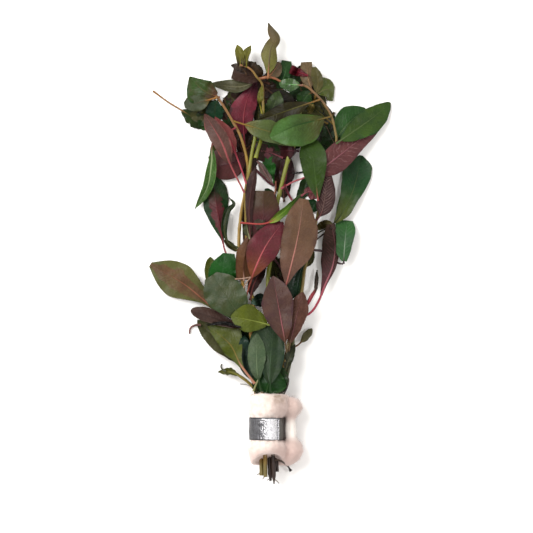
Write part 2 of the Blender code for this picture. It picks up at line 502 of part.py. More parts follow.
def lay_leaf(pile, row, radius_of_foot=None):
    """Lay one leaf on the pile: its rings, its half thickness and how far each ring was lifted."""
    settings = {key: value for key, value in row.items() if key not in ("name", "slot", "height")}
    spot = np.array([*place(row["foot"]), 0.0])
    resting = float(pile.under(spot)) + GAP + PETIOLE_RADIUS
    height = row["height"] * MM if "height" in row else resting
    rings, thick = leaf_rings(height, **settings)
    free = None if radius_of_foot is None else (spot, radius_of_foot)
    rings, lifts = settle(pile, rings, thick, free)
    return rings, thick, lifts


def add_leaf(pile, row):
    """One leaf as a piece of its own."""
    rings, thick, lifts = lay_leaf(pile, row)
    loft(row["name"], row["slot"], rings, thick)
    print(f"{row['name']}: foot lifted {lifts[0] / MM:.1f} mm, top at {rings[..., 2].max() / MM:.1f} mm")


def add_stem(pile, row):
    """One stem, with the small parts that grow on it fused to it."""
    rings, thick = stem_rings(row["route"], row["radius"])
    rings, lifts = settle(pile, rings, thick)
    stem = loft(row["name"], row["slot"], rings, thick)
    print(f"{row['name']}: lifted {lifts.max() / MM:.1f} mm, top at {rings[..., 2].max() / MM:.1f} mm")
    carriers = fine_line(rings)
    for part in row.get("grown", ()):
        spot = place(part["foot"])
        nearest = np.argmin(np.hypot(carriers[:, 0] - spot[0], carriers[:, 1] - spot[1]))
        part = dict(part, foot=plan_spot(carriers[nearest]), height=carriers[nearest, 2] / MM)
        part_rings, part_thick, _ = lay_leaf(pile, part, radius_of_foot=2.6 * row["radius"] * MM)
        carriers = np.vstack([carriers, fine_line(part_rings)])
        cutter = loft(f"grown_{part['name']}", row["slot"], part_rings, part_thick)
        cutter.hide_render = True
        cutter.display_type = "WIRE"
        fuse(stem, cutter)


def fine_line(rings):
    """Points along the middle of a loft."""
    return upsample(rings, ALONG, 1)[:, 2, :]


def fuse(piece, other):
    """Join another closed solid to a piece."""
    union = piece.modifiers.new(f"fuse_{other.name}", "BOOLEAN")
    union.operation = "UNION"
    union.solver = "EXACT"
    union.object = other


def tube(name, slot, outer, inner=None):
    """A closed tube through rings of points, with a channel through it when inner rings are given."""
    bm = bmesh.new()
    walls = []
    for wall in (outer, inner) if inner is not None else (outer,):
        loops = []
        for ring in wall:
            circle = bmesh.ops.create_circle(bm, cap_ends=False, segments=len(ring), radius=1.0)["verts"]
            for vert, spot in zip(circle, ring):
                vert.co = Vector(spot)
            loops.append(circle)
        walls.append(loops)
    for loops in walls:
        for one, other in zip(loops, loops[1:]):
            count = len(one)
            for k in range(count):
                bm.faces.new((one[k], one[(k + 1) % count], other[(k + 1) % count], other[k]))
    if inner is not None:
        for end in (0, -1):
            one, other = walls[0][end], walls[1][end]
            count = len(one)
            for k in range(count):
                bm.faces.new((one[k], one[(k + 1) % count], other[(k + 1) % count], other[k]))
    else:
        for end in (0, -1):
            bm.faces.new(walls[0][end])
    bmesh.ops.recalc_face_normals(bm, faces=bm.faces)
    bmesh.ops.triangulate(bm, faces=bm.faces)
    mesh = bpy.data.meshes.new(name)
    bm.to_mesh(mesh)
    bm.free()
    mesh.shade_smooth()
    mesh.set_sharp_from_angle(angle=math.radians(50))
    mesh.materials.append(finish(slot))
    piece = bpy.data.objects.new(name, mesh)
    bpy.context.collection.objects.link(piece)
    return piece


def squircle(angle, power):
    """Unit rounded square at an angle: power 1 is a circle, less is squarer."""
    cosine, sine = math.cos(angle), math.sin(angle)
    return (math.copysign(abs(cosine) ** power, cosine), math.copysign(abs(sine) ** power, sine))


def add_wool():
    """The rolled strip of filter wool, flat where it rests, with its tail at the right."""
    outer, inner = [], []
    middle_x = place((WOOL_MIDDLE, 0))[0]
    for ring in WOOL_RINGS:
        y = place((0, ring["row"]))[1]
        outside, channel = [], []
        for k in range(WOOL_SIDES):
            angle = 2 * math.pi * k / WOOL_SIDES
            across, up = squircle(angle, 1.0)
            reach = ring["right"] if across > 0 else -ring["left"]
            outside.append((middle_x + across * reach * MM, y,
                            max(0.0, (WOOL_HEIGHT + up * ring["half_height"]) * MM)))
            across, up = squircle(angle, 0.7)
            reach = ring["channel"][1] if across > 0 else -ring["channel"][0]
            channel.append((middle_x + across * reach * MM, y,
                            (WOOL_HEIGHT + up * CHANNEL_HALF_HEIGHT) * MM))
        outer.append(outside)
        inner.append(channel)
    roll = tube("wool_wrap", "wool", outer, inner)
    tail_rings = []
    for ring in TAIL_RINGS:
        y = place((0, ring["row"]))[1]
        points = []
        for k in range(TAIL_SIDES):
            across, up = squircle(2 * math.pi * k / TAIL_SIDES, 0.9)
            reach = ring["left"] + (ring["right"] - ring["left"]) * (1 + across) / 2
            height = ring["low"] + (ring["high"] - ring["low"]) * (1 + up) / 2
            points.append((middle_x + reach * MM, y, max(0.0, height * MM)))
        tail_rings.append(points)
    tail = tube("wool_tail", "wool", tail_rings)
    tail.hide_render = True
    tail.display_type = "WIRE"
    fuse(roll, tail)


def add_lead():
    """The lead strip: a thin ring round the waist of the wool, thicker where its end laps over."""
    middle_x = place((WOOL_MIDDLE, 0))[0]
    outer, inner = [], []
    for row in BAND_ROWS:
        y = place((0, row))[1]
        outside, inside = [], []
        for k in range(BAND_SIDES):
            angle = 2 * math.pi * k / BAND_SIDES
            turn = angle - 2 * math.pi if angle > math.pi else angle
            radius = BAND_RADIUS + (LAP_RISE if LAP_FROM < turn < LAP_TO else 0.0)
            hollow = BAND_RADIUS - BAND_THICK
            across, up = math.cos(angle), math.sin(angle)
            outside.append((middle_x + radius * across, y, WOOL_HEIGHT * MM + radius * up))
            inside.append((middle_x + hollow * across, y, WOOL_HEIGHT * MM + hollow * up))
        outer.append(outside)
        inner.append(inside)
    tube("lead_strip", "lead", outer, inner)


def build():
    """Lay the bunch down piece by piece."""
    clear_scene()
    pile = Pile()
    for row in UNDER_STEMS:
        add_leaf(pile, row)
    for row in STEMS:
        add_stem(pile, row)
    for row in OVER_STEMS:
        add_leaf(pile, row)
    add_wool()
    add_lead()


build()
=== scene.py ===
# %% [markdown]
# # A bunch of Ludwigia peruensis, dressed leaf by leaf
#
# The object is a cut bunch of an aquarium plant, lying on its side. Six stems carry oval leaves, green or
# olive on their upper side and crimson underneath, and a roll of filter wool with a bent strip of lead
# holds the stems.
#
# The solids of the bunch come in as a fixed frame. Each leaf solid is coarse, so every leaf is built again
# with a fine blade over the same plan, and it takes its height from the solid that it stands for. That
# keeps the pile in order, because the solids were laid over one another without touching.

import math
from functools import partial

import bmesh
import bpy
import numpy as np
from mathutils import Euler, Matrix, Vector, noise
from mathutils.bvhtree import BVHTree


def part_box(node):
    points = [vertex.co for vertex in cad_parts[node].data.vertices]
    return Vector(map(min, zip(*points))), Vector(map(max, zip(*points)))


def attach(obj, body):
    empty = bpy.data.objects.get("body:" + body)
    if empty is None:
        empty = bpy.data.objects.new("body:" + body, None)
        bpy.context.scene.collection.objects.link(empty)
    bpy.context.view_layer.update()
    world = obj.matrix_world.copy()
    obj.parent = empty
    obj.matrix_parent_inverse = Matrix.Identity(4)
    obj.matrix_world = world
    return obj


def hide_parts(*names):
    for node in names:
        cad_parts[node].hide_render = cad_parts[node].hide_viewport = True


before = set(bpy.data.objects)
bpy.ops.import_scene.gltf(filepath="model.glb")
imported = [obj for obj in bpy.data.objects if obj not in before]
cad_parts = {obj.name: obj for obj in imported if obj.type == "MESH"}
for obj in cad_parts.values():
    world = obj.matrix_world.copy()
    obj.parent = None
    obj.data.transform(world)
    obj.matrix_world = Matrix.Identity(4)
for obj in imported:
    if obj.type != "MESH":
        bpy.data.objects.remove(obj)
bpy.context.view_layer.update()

# %% [markdown]
# ## The plan
#
# The bunch is drawn on a plan, a square sheet seen from straight above. A spot of the plan is two numbers,
# steps to the right and steps down, and a step is 0.54 mm. Leaves, stems and the camera all use it, so a
# leaf is given as its foot, the spots it passes and its tip.

# %% Plan
MM = 0.001
PLAN_STEP = 0.54 * MM
PLAN_MIDDLE = (270.42, 252.39)
DOWN = Vector((0, 0, -1))
SKY = 60 * MM
CURVE_STEPS = 24


def place(spot):
    """A spot of the plan, in metres."""
    return np.array([(spot[0] - PLAN_MIDDLE[0]) * PLAN_STEP, (PLAN_MIDDLE[1] - spot[1]) * PLAN_STEP])


def smooth_run(knots):
    """Knots joined by a smooth curve. A knot is a spot, or one number."""
    knots = np.array(knots, dtype=float)
    padded = np.concatenate([[2 * knots[0] - knots[1]], knots, [2 * knots[-1] - knots[-2]]])
    run = [knots[0]]
    for a, b, c, d in zip(padded, padded[1:], padded[2:], padded[3:]):
        for t in np.linspace(0, 1, CURVE_STEPS + 1)[1:]:
            run.append(0.5 * (2 * b + (c - a) * t + (2 * a - 5 * b + 4 * c - d) * t**2
                              + (3 * b - a - 3 * c + d) * t**3))
    return np.array(run)


def smooth_route(knots):
    """Points of a smooth curve through spots of the plan, and how far along it each one is."""
    curve = smooth_run([place(knot) for knot in knots])
    return curve, np.concatenate([[0], np.cumsum(np.linalg.norm(np.diff(curve, axis=0), axis=1))])


def along(curve, lengths, shares):
    """Places on a curve at shares of its length."""
    wanted = np.clip(np.asarray(shares), 0, 1) * lengths[-1]
    return np.stack([np.interp(wanted, lengths, curve[:, k]) for k in (0, 1)], axis=-1)


def to_the_right(curve, lengths, shares):
    """Level unit vectors that point to the right of a curve."""
    shares = np.asarray(shares)
    way = along(curve, lengths, shares + 0.02) - along(curve, lengths, shares - 0.02)
    way /= np.linalg.norm(way, axis=-1)[..., None]
    return np.stack([way[..., 1], -way[..., 0]], axis=-1)


# %% [markdown]
# ## Heights from the solids
#
# A ray straight down onto a solid says how high its upper side lies there. A search tree of the solid's
# triangles makes thousands of rays quick. A small leaf that has no solid lies on whatever its rays meet
# first below a given height, so it drapes over its neighbours.

# %% Heights
trees = {}
all_corners = []
all_faces = []
for name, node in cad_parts.items():
    first = len(all_corners)
    corners = [v.co.copy() for v in node.data.vertices]
    faces = [tuple(p.vertices) for p in node.data.polygons]
    trees[name] = BVHTree.FromPolygons(corners, faces)
    all_corners += corners
    all_faces += [[first + k for k in face] for face in faces]
pile = BVHTree.FromPolygons(all_corners, all_faces)
COLUMNS = np.array([-0.9, -0.45, 0.0, 0.45, 0.9])
MIDDLE = len(COLUMNS) // 2
STATIONS = 25
LEAF_REST = 0.35 * MM


def evened(heights, rounds):
    """Rows of heights with their kinks rounded off."""
    for _ in range(rounds):
        heights[1:-1] = heights[1:-1] * 0.5 + (heights[:-2] + heights[2:]) * 0.25
    return heights


def ray_heights(tree, start, spots, missed):
    """Heights at which rays from a start height first meet a tree, at rows of spots."""
    heights = np.full(spots.shape[:2], missed)
    for i, j in np.ndindex(*heights.shape):
        hit = tree.ray_cast(Vector((*spots[i, j], start)), DOWN)[0]
        if hit is not None:
            heights[i, j] = hit.z
    return heights


def on_solid(name, spots):
    """Heights of one solid's upper side at rows of spots, gaps filled from the middle column."""
    heights = ray_heights(trees[name], SKY, spots, np.nan)
    rows = np.arange(len(heights))
    middle = heights[:, MIDDLE]
    known = ~np.isnan(middle)
    middle[:] = np.interp(rows, rows[known], middle[known])
    for column in heights.T:
        column[np.isnan(column)] = middle[np.isnan(column)]
    return evened(heights, 2)


def on_pile(below, spots):
    """Heights at which a leaf rests on the pile, counting only what lies below a height."""
    row = ray_heights(pile, below, spots, 0.0).max(axis=1)
    wide = np.maximum(row, np.maximum(np.append(row[1:], row[-1]), np.insert(row[:-1], 0, row[0])))
    return evened(np.repeat(wide[:, None], spots.shape[1], axis=1) + LEAF_REST, 3)


# %% [markdown]
# ## Bending a grid
#
# A blade, a petiole, a stem and the lead strip are all a flat grid that is bent to its place. Blender's
# grid operator makes the faces. Its corners run from -1 to 1, so they serve as the share across and the
# share along, and one function says where each corner goes. The same two shares, and the same in
# millimetres, are kept as UV maps, because the veins have to follow the leaf however it is turned.

# %% Bent grid
SHARE_MAP = "share"
SIZE_MAP = "millimetres"


def bent_grid(bm, across, lengthwise, bend):
    """Add a grid to bm. bend takes shares from 0 to 1 and gives a place, its shares and its millimetres."""
    share_map = bm.loops.layers.uv.get(SHARE_MAP) or bm.loops.layers.uv.new(SHARE_MAP)
    size_map = bm.loops.layers.uv.get(SIZE_MAP) or bm.loops.layers.uv.new(SIZE_MAP)
    corners = bmesh.ops.create_grid(bm, x_segments=across, y_segments=lengthwise, size=1.0)["verts"]
    shares = {}
    for corner in corners:
        spot, share, size = bend((corner.co.x + 1) / 2, (corner.co.y + 1) / 2)
        shares[corner] = (share, size)
        corner.co = spot
    for face in {face for corner in corners for face in corner.link_faces}:
        for loop in face.loops:
            loop[share_map].uv, loop[size_map].uv = shares[loop.vert]
    return corners


def close_tube(bm, tube, sides, seam):
    """Weld the seam of a bent tube and fill its ends."""
    bmesh.ops.remove_doubles(bm, verts=tube, dist=seam)
    bmesh.ops.holes_fill(bm, edges=bm.edges, sides=sides)
    bmesh.ops.recalc_face_normals(bm, faces=bm.faces)


def mesh_from(bm, name):
    """Turn bm into a mesh and let it go."""
    mesh = bpy.data.meshes.new(name)
    bm.to_mesh(mesh)
    bm.free()
    return mesh


def set_out(name, data):
    """Put data into the scene as an object."""
    made = bpy.data.objects.new(name, data)
    bpy.context.collection.objects.link(made)
    return made


def finished(bm, name, materials, smooth=math.radians(60)):
    """Turn bm into a piece of the object."""
    mesh = mesh_from(bm, name)
    mesh.shade_smooth()
    mesh.set_sharp_from_angle(angle=smooth)
    for material in materials:
        mesh.materials.append(material)
    piece = set_out(name, mesh)
    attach(piece, "root")
    return piece


def seed_of(name):
    """A number of its own for each name."""
    return sum(ord(letter) for letter in name)


# %% [markdown]
# ## Small helpers for node trees
#
# Materials are node trees. These helpers add a node, set its unlinked sockets and wire the others, so that
# the recipes below read like sums. A sum goes into the tree that its sockets belong to.

# %% Node helpers
def shade(text):
    """A colour as the renderer wants it, from the way it is written on screens."""
    parts = [int(text[k:k + 2], 16) / 255 for k in (1, 3, 5)]
    return (*[c / 12.92 if c <= 0.04045 else ((c + 0.055) / 1.055) ** 2.4 for c in parts], 1.0)


def put(socket, value):
    """Wire a socket to another, or set its value."""
    if isinstance(value, bpy.types.NodeSocket):
        socket.id_data.links.new(value, socket)
    else:
        socket.default_value = value


def add(tree, kind, settings=None, **inputs):
    """Add a node; inputs are given by the socket's name with underscores for spaces."""
    made = tree.nodes.new(kind)
    for key, value in (settings or {}).items():
        setattr(made, key, value)
    for key, value in inputs.items():
        put(made.inputs[key.replace("_", " ")], value)
    return made


def tree_of(*values):
    """The tree that the sockets among some values belong to."""
    return next(value.id_data for value in values if isinstance(value, bpy.types.NodeSocket))


def calc(operation, *values, clamp=False):
    """The result of one sum."""
    made = add(tree_of(*values), "ShaderNodeMath", {"operation": operation, "use_clamp": clamp})
    for socket, value in zip(made.inputs, values):
        put(socket, value)
    return made.outputs[0]


plus = partial(calc, "ADD")
minus = partial(calc, "SUBTRACT")
times = partial(calc, "MULTIPLY")


def fade(value, low, high, start=0.0, end=1.0):
    """A soft step from start to end as value goes from low to high."""
    made = add(value.id_data, "ShaderNodeMapRange", {"interpolation_type": "SMOOTHSTEP"}, Value=value,
               From_Min=low, From_Max=high, To_Min=start, To_Max=end)
    return made.outputs["Result"]


def mix(factor, one, other, mode="MIX"):
    """Two colours mixed."""
    made = add(tree_of(factor, one, other), "ShaderNodeMix", {"data_type": "RGBA", "blend_type": mode})
    for index, value in zip((0, 6, 7), (factor, one, other)):
        put(made.inputs[index], value)
    return made.outputs[2]


def toned(colour, tone):
    """A colour made lighter or darker by a number."""
    grey = add(colour.id_data, "ShaderNodeCombineColor", Red=tone, Green=tone, Blue=tone).outputs["Color"]
    return mix(1.0, colour, grey, "MULTIPLY")


def cloud(where, scale, detail=3.0, roughness=0.55):
    """Soft noise from 0 to 1."""
    return add(where.id_data, "ShaderNodeTexNoise", Vector=where, Scale=scale, Detail=detail,
               Roughness=roughness).outputs["Fac"]


def moved(where, **how):
    """A vector moved, turned or scaled."""
    return add(where.id_data, "ShaderNodeMapping", Vector=where, **how).outputs["Vector"]


def parts_of(where):
    """The three numbers of a vector."""
    return add(where.id_data, "ShaderNodeSeparateXYZ", Vector=where).outputs


def on_object(tree):
    """The spot on the object, in metres."""
    return add(tree, "ShaderNodeTexCoord").outputs["Object"]


def on_map(tree, title):
    """The spot on one of the object's UV maps."""
    return add(tree, "ShaderNodeUVMap", {"uv_map": title}).outputs["UV"]


def new_material(name, **values):
    """A material with values set on its shader, its tree and its shader."""
    material = bpy.data.materials.new(name)
    material.use_nodes = True
    tree = material.node_tree
    shader = tree.nodes["Principled BSDF"]
    for key, value in values.items():
        shader.inputs[key.replace("_", " ")].default_value = value
    return material, tree, shader


def surface(shader, colour, roughness, height, depth, strength=1.0):
    """Give a shader its colour, its roughness and a relief."""
    put(shader.inputs["Base Color"], colour)
    put(shader.inputs["Roughness"], roughness)
    bump = add(height.id_data, "ShaderNodeBump", Strength=strength, Distance=depth, Height=height)
    put(shader.inputs["Normal"], bump.outputs["Normal"])


# %% [markdown]
# ## Leaf skin
#
# Every leaf has the same skin with its own colours: a midrib, side veins that run forward from it to the
# margin, blotches between the veins and a margin of another tone. All of it is read from the leaf's UV
# maps, so one node group serves every blade and its petiole. The upper side has sunk veins and the
# underside raised ones, which is one signed number in the group.

# %% Leaf skin group
VEIN_SLOPE = 0.85
VEIN_CURVE = 0.035
VEIN_WANDER = 2.2
VEIN_FADES_FROM = 0.45
RIB_TIP = 0.12
EDGE_SOFTNESS = 0.12
EDGE_WANDER = 0.24
LEAF_BUMP = 0.16 * MM
DRAPE_DEPTH = 13.0
SWELL_DEPTH = 1.5
PORE_DEPTH = 0.12
LEAF_GRAIN = dict(wander=210, gaps=330, blotch=190, speck=1300, patch=85, swell=330, drape=75)
LEAF_HUES = ("Main", "Second", "Rib", "Petiole", "Base", "Margin", "Vein", "Tip")
LEAF_NUMBERS = ("Margin share", "Vein amount", "Vein gap", "Vein width", "Rib width", "Blotches",
                "Base share", "Relief", "Gloss", "Fold", "Tip share", "Seed")


def make_leaf_skin():
    tree = bpy.data.node_groups.new("leaf skin", "ShaderNodeTree")
    for title in LEAF_HUES:
        tree.interface.new_socket(name=title, in_out="INPUT", socket_type="NodeSocketColor")
    for title in LEAF_NUMBERS:
        tree.interface.new_socket(name=title, in_out="INPUT", socket_type="NodeSocketFloat")
    for title, kind in (("Colour", "Color"), ("Roughness", "Float"), ("Height", "Float")):
        tree.interface.new_socket(name=title, in_out="OUTPUT", socket_type=f"NodeSocket{kind}")
    given = tree.nodes.new("NodeGroupInput").outputs
    out = tree.nodes.new("NodeGroupOutput").inputs

    share_across, share_along, _ = parts_of(on_map(tree, SHARE_MAP))
    size_across, size_along, _ = parts_of(on_map(tree, SIZE_MAP))
    out_of_middle = calc("ABSOLUTE", calc("MULTIPLY_ADD", share_across, 2.0, -1.0))
    off_rib = calc("ABSOLUTE", size_across)
    shift = add(tree, "ShaderNodeCombineXYZ", X=given["Seed"], Y=given["Seed"]).outputs["Vector"]
    where = moved(on_object(tree), Location=shift)

    wander = cloud(where, LEAF_GRAIN["wander"], detail=2.0)
    left = times(calc("LESS_THAN", size_across, 0.0), 0.5)
    climb = times(off_rib, calc("MULTIPLY_ADD", off_rib, VEIN_CURVE, VEIN_SLOPE))
    phase = calc("DIVIDE", minus(size_along, climb), given["Vein gap"])
    phase = plus(calc("MULTIPLY_ADD", wander, VEIN_WANDER, phase), left)
    from_vein = times(calc("PINGPONG", phase, 0.5), given["Vein gap"])
    vein = fade(from_vein, 0.0, given["Vein width"], 1.0, 0.0)
    vein = times(vein, fade(out_of_middle, VEIN_FADES_FROM, 0.92, 1.0, 0.1))
    vein = times(vein, fade(cloud(where, LEAF_GRAIN["gaps"], detail=2.0), 0.35, 0.6, 0.25, 1.0))
    on_blade = fade(share_along, -0.02, 0.06)
    vein = times(vein, on_blade)
    taper = times(given["Rib width"], fade(share_along, 0.2, 1.05, 1.0, RIB_TIP))
    rib = fade(calc("DIVIDE", off_rib, taper), 0.55, 1.25, 1.0, 0.0)
    rib = times(rib, fade(share_along, 0.25, 0.95, 1.0, 0.30))

    blotch = fade(cloud(where, LEAF_GRAIN["blotch"], detail=5.0, roughness=0.62), 0.38, 0.62)
    speck = fade(cloud(where, LEAF_GRAIN["speck"], roughness=0.7), 0.3, 0.75)
    colour = mix(times(blotch, given["Blotches"]), given["Main"], given["Second"])
    colour = mix(fade(share_along, 0.02, given["Base share"], 1.0, 0.0), colour, given["Base"])
    colour = mix(times(given["Tip share"], fade(share_along, 0.55, 0.85)), colour, given["Tip"])
    edge_wander = calc("MULTIPLY_ADD", minus(blotch, 0.5), EDGE_WANDER, out_of_middle)
    edge_start = minus(1.0, given["Margin share"])
    edge = fade(edge_wander, edge_start, plus(edge_start, EDGE_SOFTNESS))
    colour = mix(times(edge, on_blade), colour, given["Margin"])
    colour = mix(times(vein, given["Vein amount"]), colour, given["Vein"])
    patches = cloud(where, LEAF_GRAIN["patch"], roughness=0.5)
    colour = toned(colour, plus(calc("MULTIPLY_ADD", speck, 0.30, 0.35), patches))
    stalk_colour = mix(fade(share_along, -0.05, 0.25), given["Petiole"], given["Rib"])
    put(out["Colour"], mix(rib, colour, stalk_colour))

    dull = calc("MULTIPLY_ADD", minus(blotch, 0.5), 0.12, given["Gloss"])
    put(out["Roughness"], calc("MULTIPLY_ADD", minus(speck, 0.5), 0.12, dull, clamp=True))
    bulge = times(calc("MAXIMUM", vein, rib), given["Relief"])
    swell = times(cloud(where, LEAF_GRAIN["swell"]), SWELL_DEPTH)
    pores = times(speck, PORE_DEPTH)
    drape = times(cloud(where, LEAF_GRAIN["drape"], detail=2.0, roughness=0.45), DRAPE_DEPTH)
    fold = times(off_rib, calc("DIVIDE", given["Fold"], LEAF_BUMP / MM))
    put(out["Height"], plus(plus(bulge, plus(swell, pores)), plus(drape, fold)))
    return tree


leaf_skin = make_leaf_skin()
print("leaf skin group:", len(leaf_skin.nodes), "nodes")

# %% [markdown]
# ## Leaf finishes
#
# Each leaf has its own colours, since no two in the bunch are alike: old ones are mauve or brown, wet ones
# shine and young ones are bright green. A finish is a kind, upper side or underside, with that leaf's
# colours put in. The side that faces the surface gets the opposite kind.

# %% Leaf finishes
DEEPER = 0.52
GLARE = 0.007
LEAST = 0.12
LEAF_SHINE = 0.13
WET_ROUGHNESS = 0.16
SEED_STEP = 0.01
PLAIN_LEAF = dict(Margin_share=0.12, Blotches=0.5, Base_share=0.3)
END_SHARE = 0.9
KINDS = {
    "upper": dict(Vein_amount=0.22, Vein_gap=2.3, Vein_width=0.35, Rib_width=0.34, Relief=-0.55, Gloss=0.42,
                  Fold=0.14),
    "under": dict(Vein_amount=0.24, Vein_gap=2.2, Vein_width=0.38, Rib_width=0.40, Relief=0.6, Gloss=0.48,
                  Fold=-0.14),
}


def leaf_shade(text):
    """A leaf colour, deepened to make up for the strong light and for the glare on its skin."""
    return (*[max(part * DEEPER - GLARE, part * LEAST) for part in shade(text)[:3]], 1.0)


def leaf_finish(name, kind, hues, base=None, margin=None, vein=None, end=None, wet=0.0, **numbers):
    """A leaf material. hues are the colours of its main part, its blotches, its midrib and, where that is
    another, its petiole, as written on screens."""
    main, second, rib, *petiole = hues.split()
    material, tree, shader = new_material(name, Specular_IOR_Level=LEAF_SHINE, Coat_Weight=wet,
                                          Coat_Roughness=WET_ROUGHNESS)
    skin = tree.nodes.new("ShaderNodeGroup")
    skin.node_tree = leaf_skin
    shades = (main, second, rib, (*petiole, rib)[0], base or main, margin or second, vein or rib, end or main)
    for title, text in zip(LEAF_HUES, shades):
        put(skin.inputs[title], leaf_shade(text))
    own = dict(Tip_share=END_SHARE if end else 0.0, Seed=seed_of(name) * SEED_STEP)
    for title, value in {**PLAIN_LEAF, **KINDS[kind], **own, **numbers}.items():
        put(skin.inputs[title.replace("_", " ")], value)
    surface(shader, skin.outputs["Colour"], skin.outputs["Roughness"], skin.outputs["Height"], LEAF_BUMP)
    return material


REVERSES = {
    "upper": leaf_finish("crimson underside", "under", "#6a3038 #5a3c38 #b06060 #94404a"),
    "under": leaf_finish("green upper side", "upper", "#3c5a2c #4a5a30 #7a8a50 #8a5040"),
}
print("two finishes for the sides that face the surface")

# %% [markdown]
# ## One leaf
#
# A real blade is a thin sheet, stiffened by a midrib that carries on into the petiole. So the blade is a
# grid shaped by the leaf's outline, given a wave along its margins and then a wall, and the petiole and
# midrib are one thin tapering tube along its middle. On an upper side the tube is sunk below the blade, on
# an underside it stands out. leaf() builds a leaf that shows its upper side, and back() one that shows its
# underside.

# %% Leaf builder
BLADE_WALL = 0.26 * MM
CLEARANCE = 0.02 * MM
PETIOLE_RADIUS = 0.46 * MM
PETIOLE_FOOT = 3 * MM
FOOT_SWELL = 0.35
TIP_HALF_WIDTH = 0.25 * MM
LOPSIDED = 0.10
UNEVEN = 0.22
UNEVEN_BUMPS = 2.6
FINE_UNEVEN = 0.4 * UNEVEN
FINE_BUMPS = 8.0
RAGGED_BUMPS = 9
ODD_OUTLINE_UNEVEN = 0.35
SIDE_SEEDS = (0.25, 40.5)
SIDE_PHASES = (0, 1.7)
END_SLOPE = 8
TIP_UNEVEN = 0.3
CROWDED_ENDS = 0.6
LONG_RIPPLE = 13
SHORT_RIPPLE = 29
SHORT_RIPPLE_SHARE = 0.6
RIPPLE_TO_MARGIN = 2.5
CRUMPLE = 0.35
BLADE_ACROSS = 18
BLADE_LENGTHWISE = 44
TUBE_SIDES = 8
RIB_REACH = 0.90
RIB_LIFT = {"upper": -0.62, "under": 0.10}
LEAF_SEAM = 0.002 * MM


def blade_half_width(v, width, belly, blunt):
    """Half the width of a blade at shares of its length."""
    v = np.clip(v, 0, 1)
    swell = np.clip(np.sin(np.pi * v ** (math.log(0.5) / math.log(belly))), 0, 1) ** blunt
    return np.maximum(0.5 * width * MM * swell, PETIOLE_RADIUS + (TIP_HALF_WIDTH - PETIOLE_RADIUS) * v)


def side_half_width(v, run):
    """The same for one side of a blade with an odd outline, from a run of half-widths in mm."""
    return max(float(np.interp(v * (len(run) - 1), np.arange(len(run)), run)) * MM, TIP_HALF_WIDTH)


